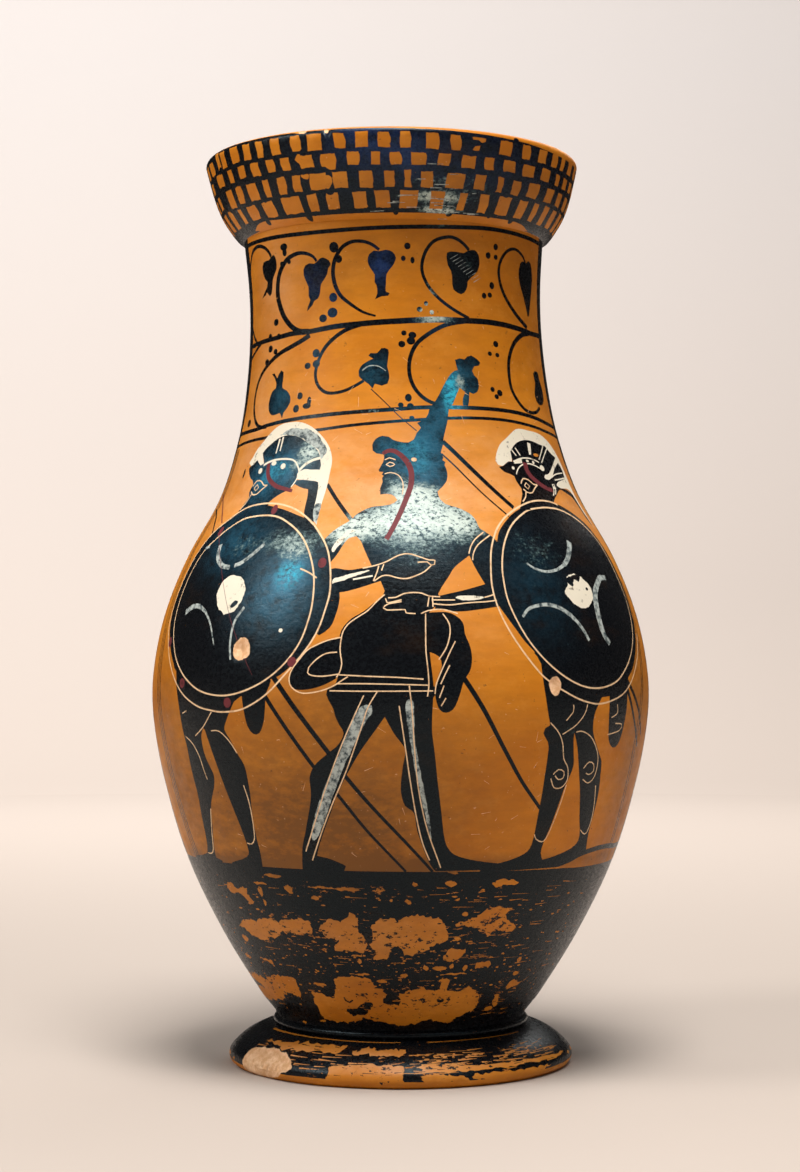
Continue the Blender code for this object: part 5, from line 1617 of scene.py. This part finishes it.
def set_light():
    """Soft lights on the vessel, and washes that light the wall on each side of it."""
    scene = bpy.context.scene
    scene.view_settings.view_transform = "Standard"
    world = bpy.data.worlds.new("studio")
    world.use_nodes = True
    sky = world.node_tree.nodes["Background"]
    sky.inputs["Color"].default_value = (1.0, 0.93, 0.86, 1.0)
    sky.inputs["Strength"].default_value = 0.03
    scene.world = world
    vessel = (0.0, 0.0, 0.16)
    warm = (1.0, 0.98, 0.95)
    cool = (0.80, 0.92, 1.0)
    white = (1.0, 0.98, 0.97)
    add_light("top", (0.03, -0.19, 1.6), vessel, 0.6, 7.5, warm)
    add_light("front_top", (0.05, -0.45, 1.5), vessel, 0.5, 21.6, warm)
    add_light("left", (-1.0, -0.42, 0.92), vessel, 0.42, 7.4, warm)
    add_light("right_window", (0.95, -0.95, 0.50), vessel, 0.14, 0.4, cool, size_y=0.5)
    add_light("back", (0.5, 1.2, 1.1), vessel, 0.8, 5.0, warm)
    add_light("back_wash", (-0.4, 0.9, 1.5), (-0.1, 2.4, 0.55), 1.0, 49.0, white)
    add_light("front_wash", (0.5, -0.9, 1.5), (0.2, -2.4, 0.55), 1.0, 45.0, white)
    add_light("left_wash", (-0.9, -0.3, 1.5), (-2.4, -0.4, 1.0), 1.0, 34.0, white)
    add_light("right_wash", (0.9, -0.3, 1.5), (2.4, -0.4, 1.0), 1.0, 34.0, white)


# ---------------------------------------------------------------- assembly


def inner_wall(top, bottom, rows):
    """The turned inside between two heights, as an outline that runs down."""
    return [(inner_radius(z), z) for z in np.linspace(top, bottom, rows)]


def place_piece(piece, node):
    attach(piece, "root")
    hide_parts(node)


def paint_all():
    """Fills PAINT. What is painted later lies on top of what is painted before."""
    paint_mouth()
    paint_neck()
    paint_frame()
    paint_scratches()
    paint_spears()
    paint_left_warrior()
    paint_archer()
    paint_overlap()
    paint_right_warrior()
    paint_base_wear()
    paint_specks()
    paint_foot()


def main():
    set_camera()
    set_stage()
    set_light()
    clay = clay_material()
    gloss = gloss_material()
    paints = paint_materials(clay, gloss)
    bare = plain_material("bare_clay", (0.50, 0.21, 0.07), 0.8)
    paint_all()
    skin = build_skin()

    neck_inside = inner_wall(MOUTH_JOINT, NECK_JOINT, 24)
    upper_inside = inner_wall(NECK_JOINT, BELLY_JOINT, 30)
    lower_inside = inner_wall(BELLY_JOINT, FLOOR_START, 30) + INNER_FLOOR
    sections = [
        ("mouth_skin", MOUTH_JOINT, RIM_END, MOUTH_INSIDE, gloss, "mouth", "painted_mouth"),
        ("neck_skin", NECK_JOINT, MOUTH_JOINT, neck_inside, bare, "neck", "painted_neck"),
        ("upper_body_skin", BELLY_JOINT, NECK_JOINT, upper_inside, bare, "upper_body", "painted_body"),
        ("lower_body_skin", FOOT_TOP, BELLY_JOINT, lower_inside, bare, "lower_body", "painted_body"),
        ("foot_skin", 0.0, FOOT_TOP, FOOT_UNDERSIDE, bare, "foot", "gloss"),
    ]
    for name, low, high, lining_outline, lining, node, slot in sections:
        piece = skin_piece(name, skin, low, high, lining_outline, paints, lining)
        place_piece(piece, node)
    place_piece(make_handle(gloss), "handle")
    place_piece(make_fillet(gloss), "foot_fillet")
    slip = plain_material("joint_slip", (0.45, 0.19, 0.07), 0.85)
    for node in ("mouth_joint_slip", "neck_joint_slip", "belly_joint_slip", "foot_joint_slip"):
        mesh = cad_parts[node].data
        mesh.materials.clear()
        mesh.materials.append(slip)


main()
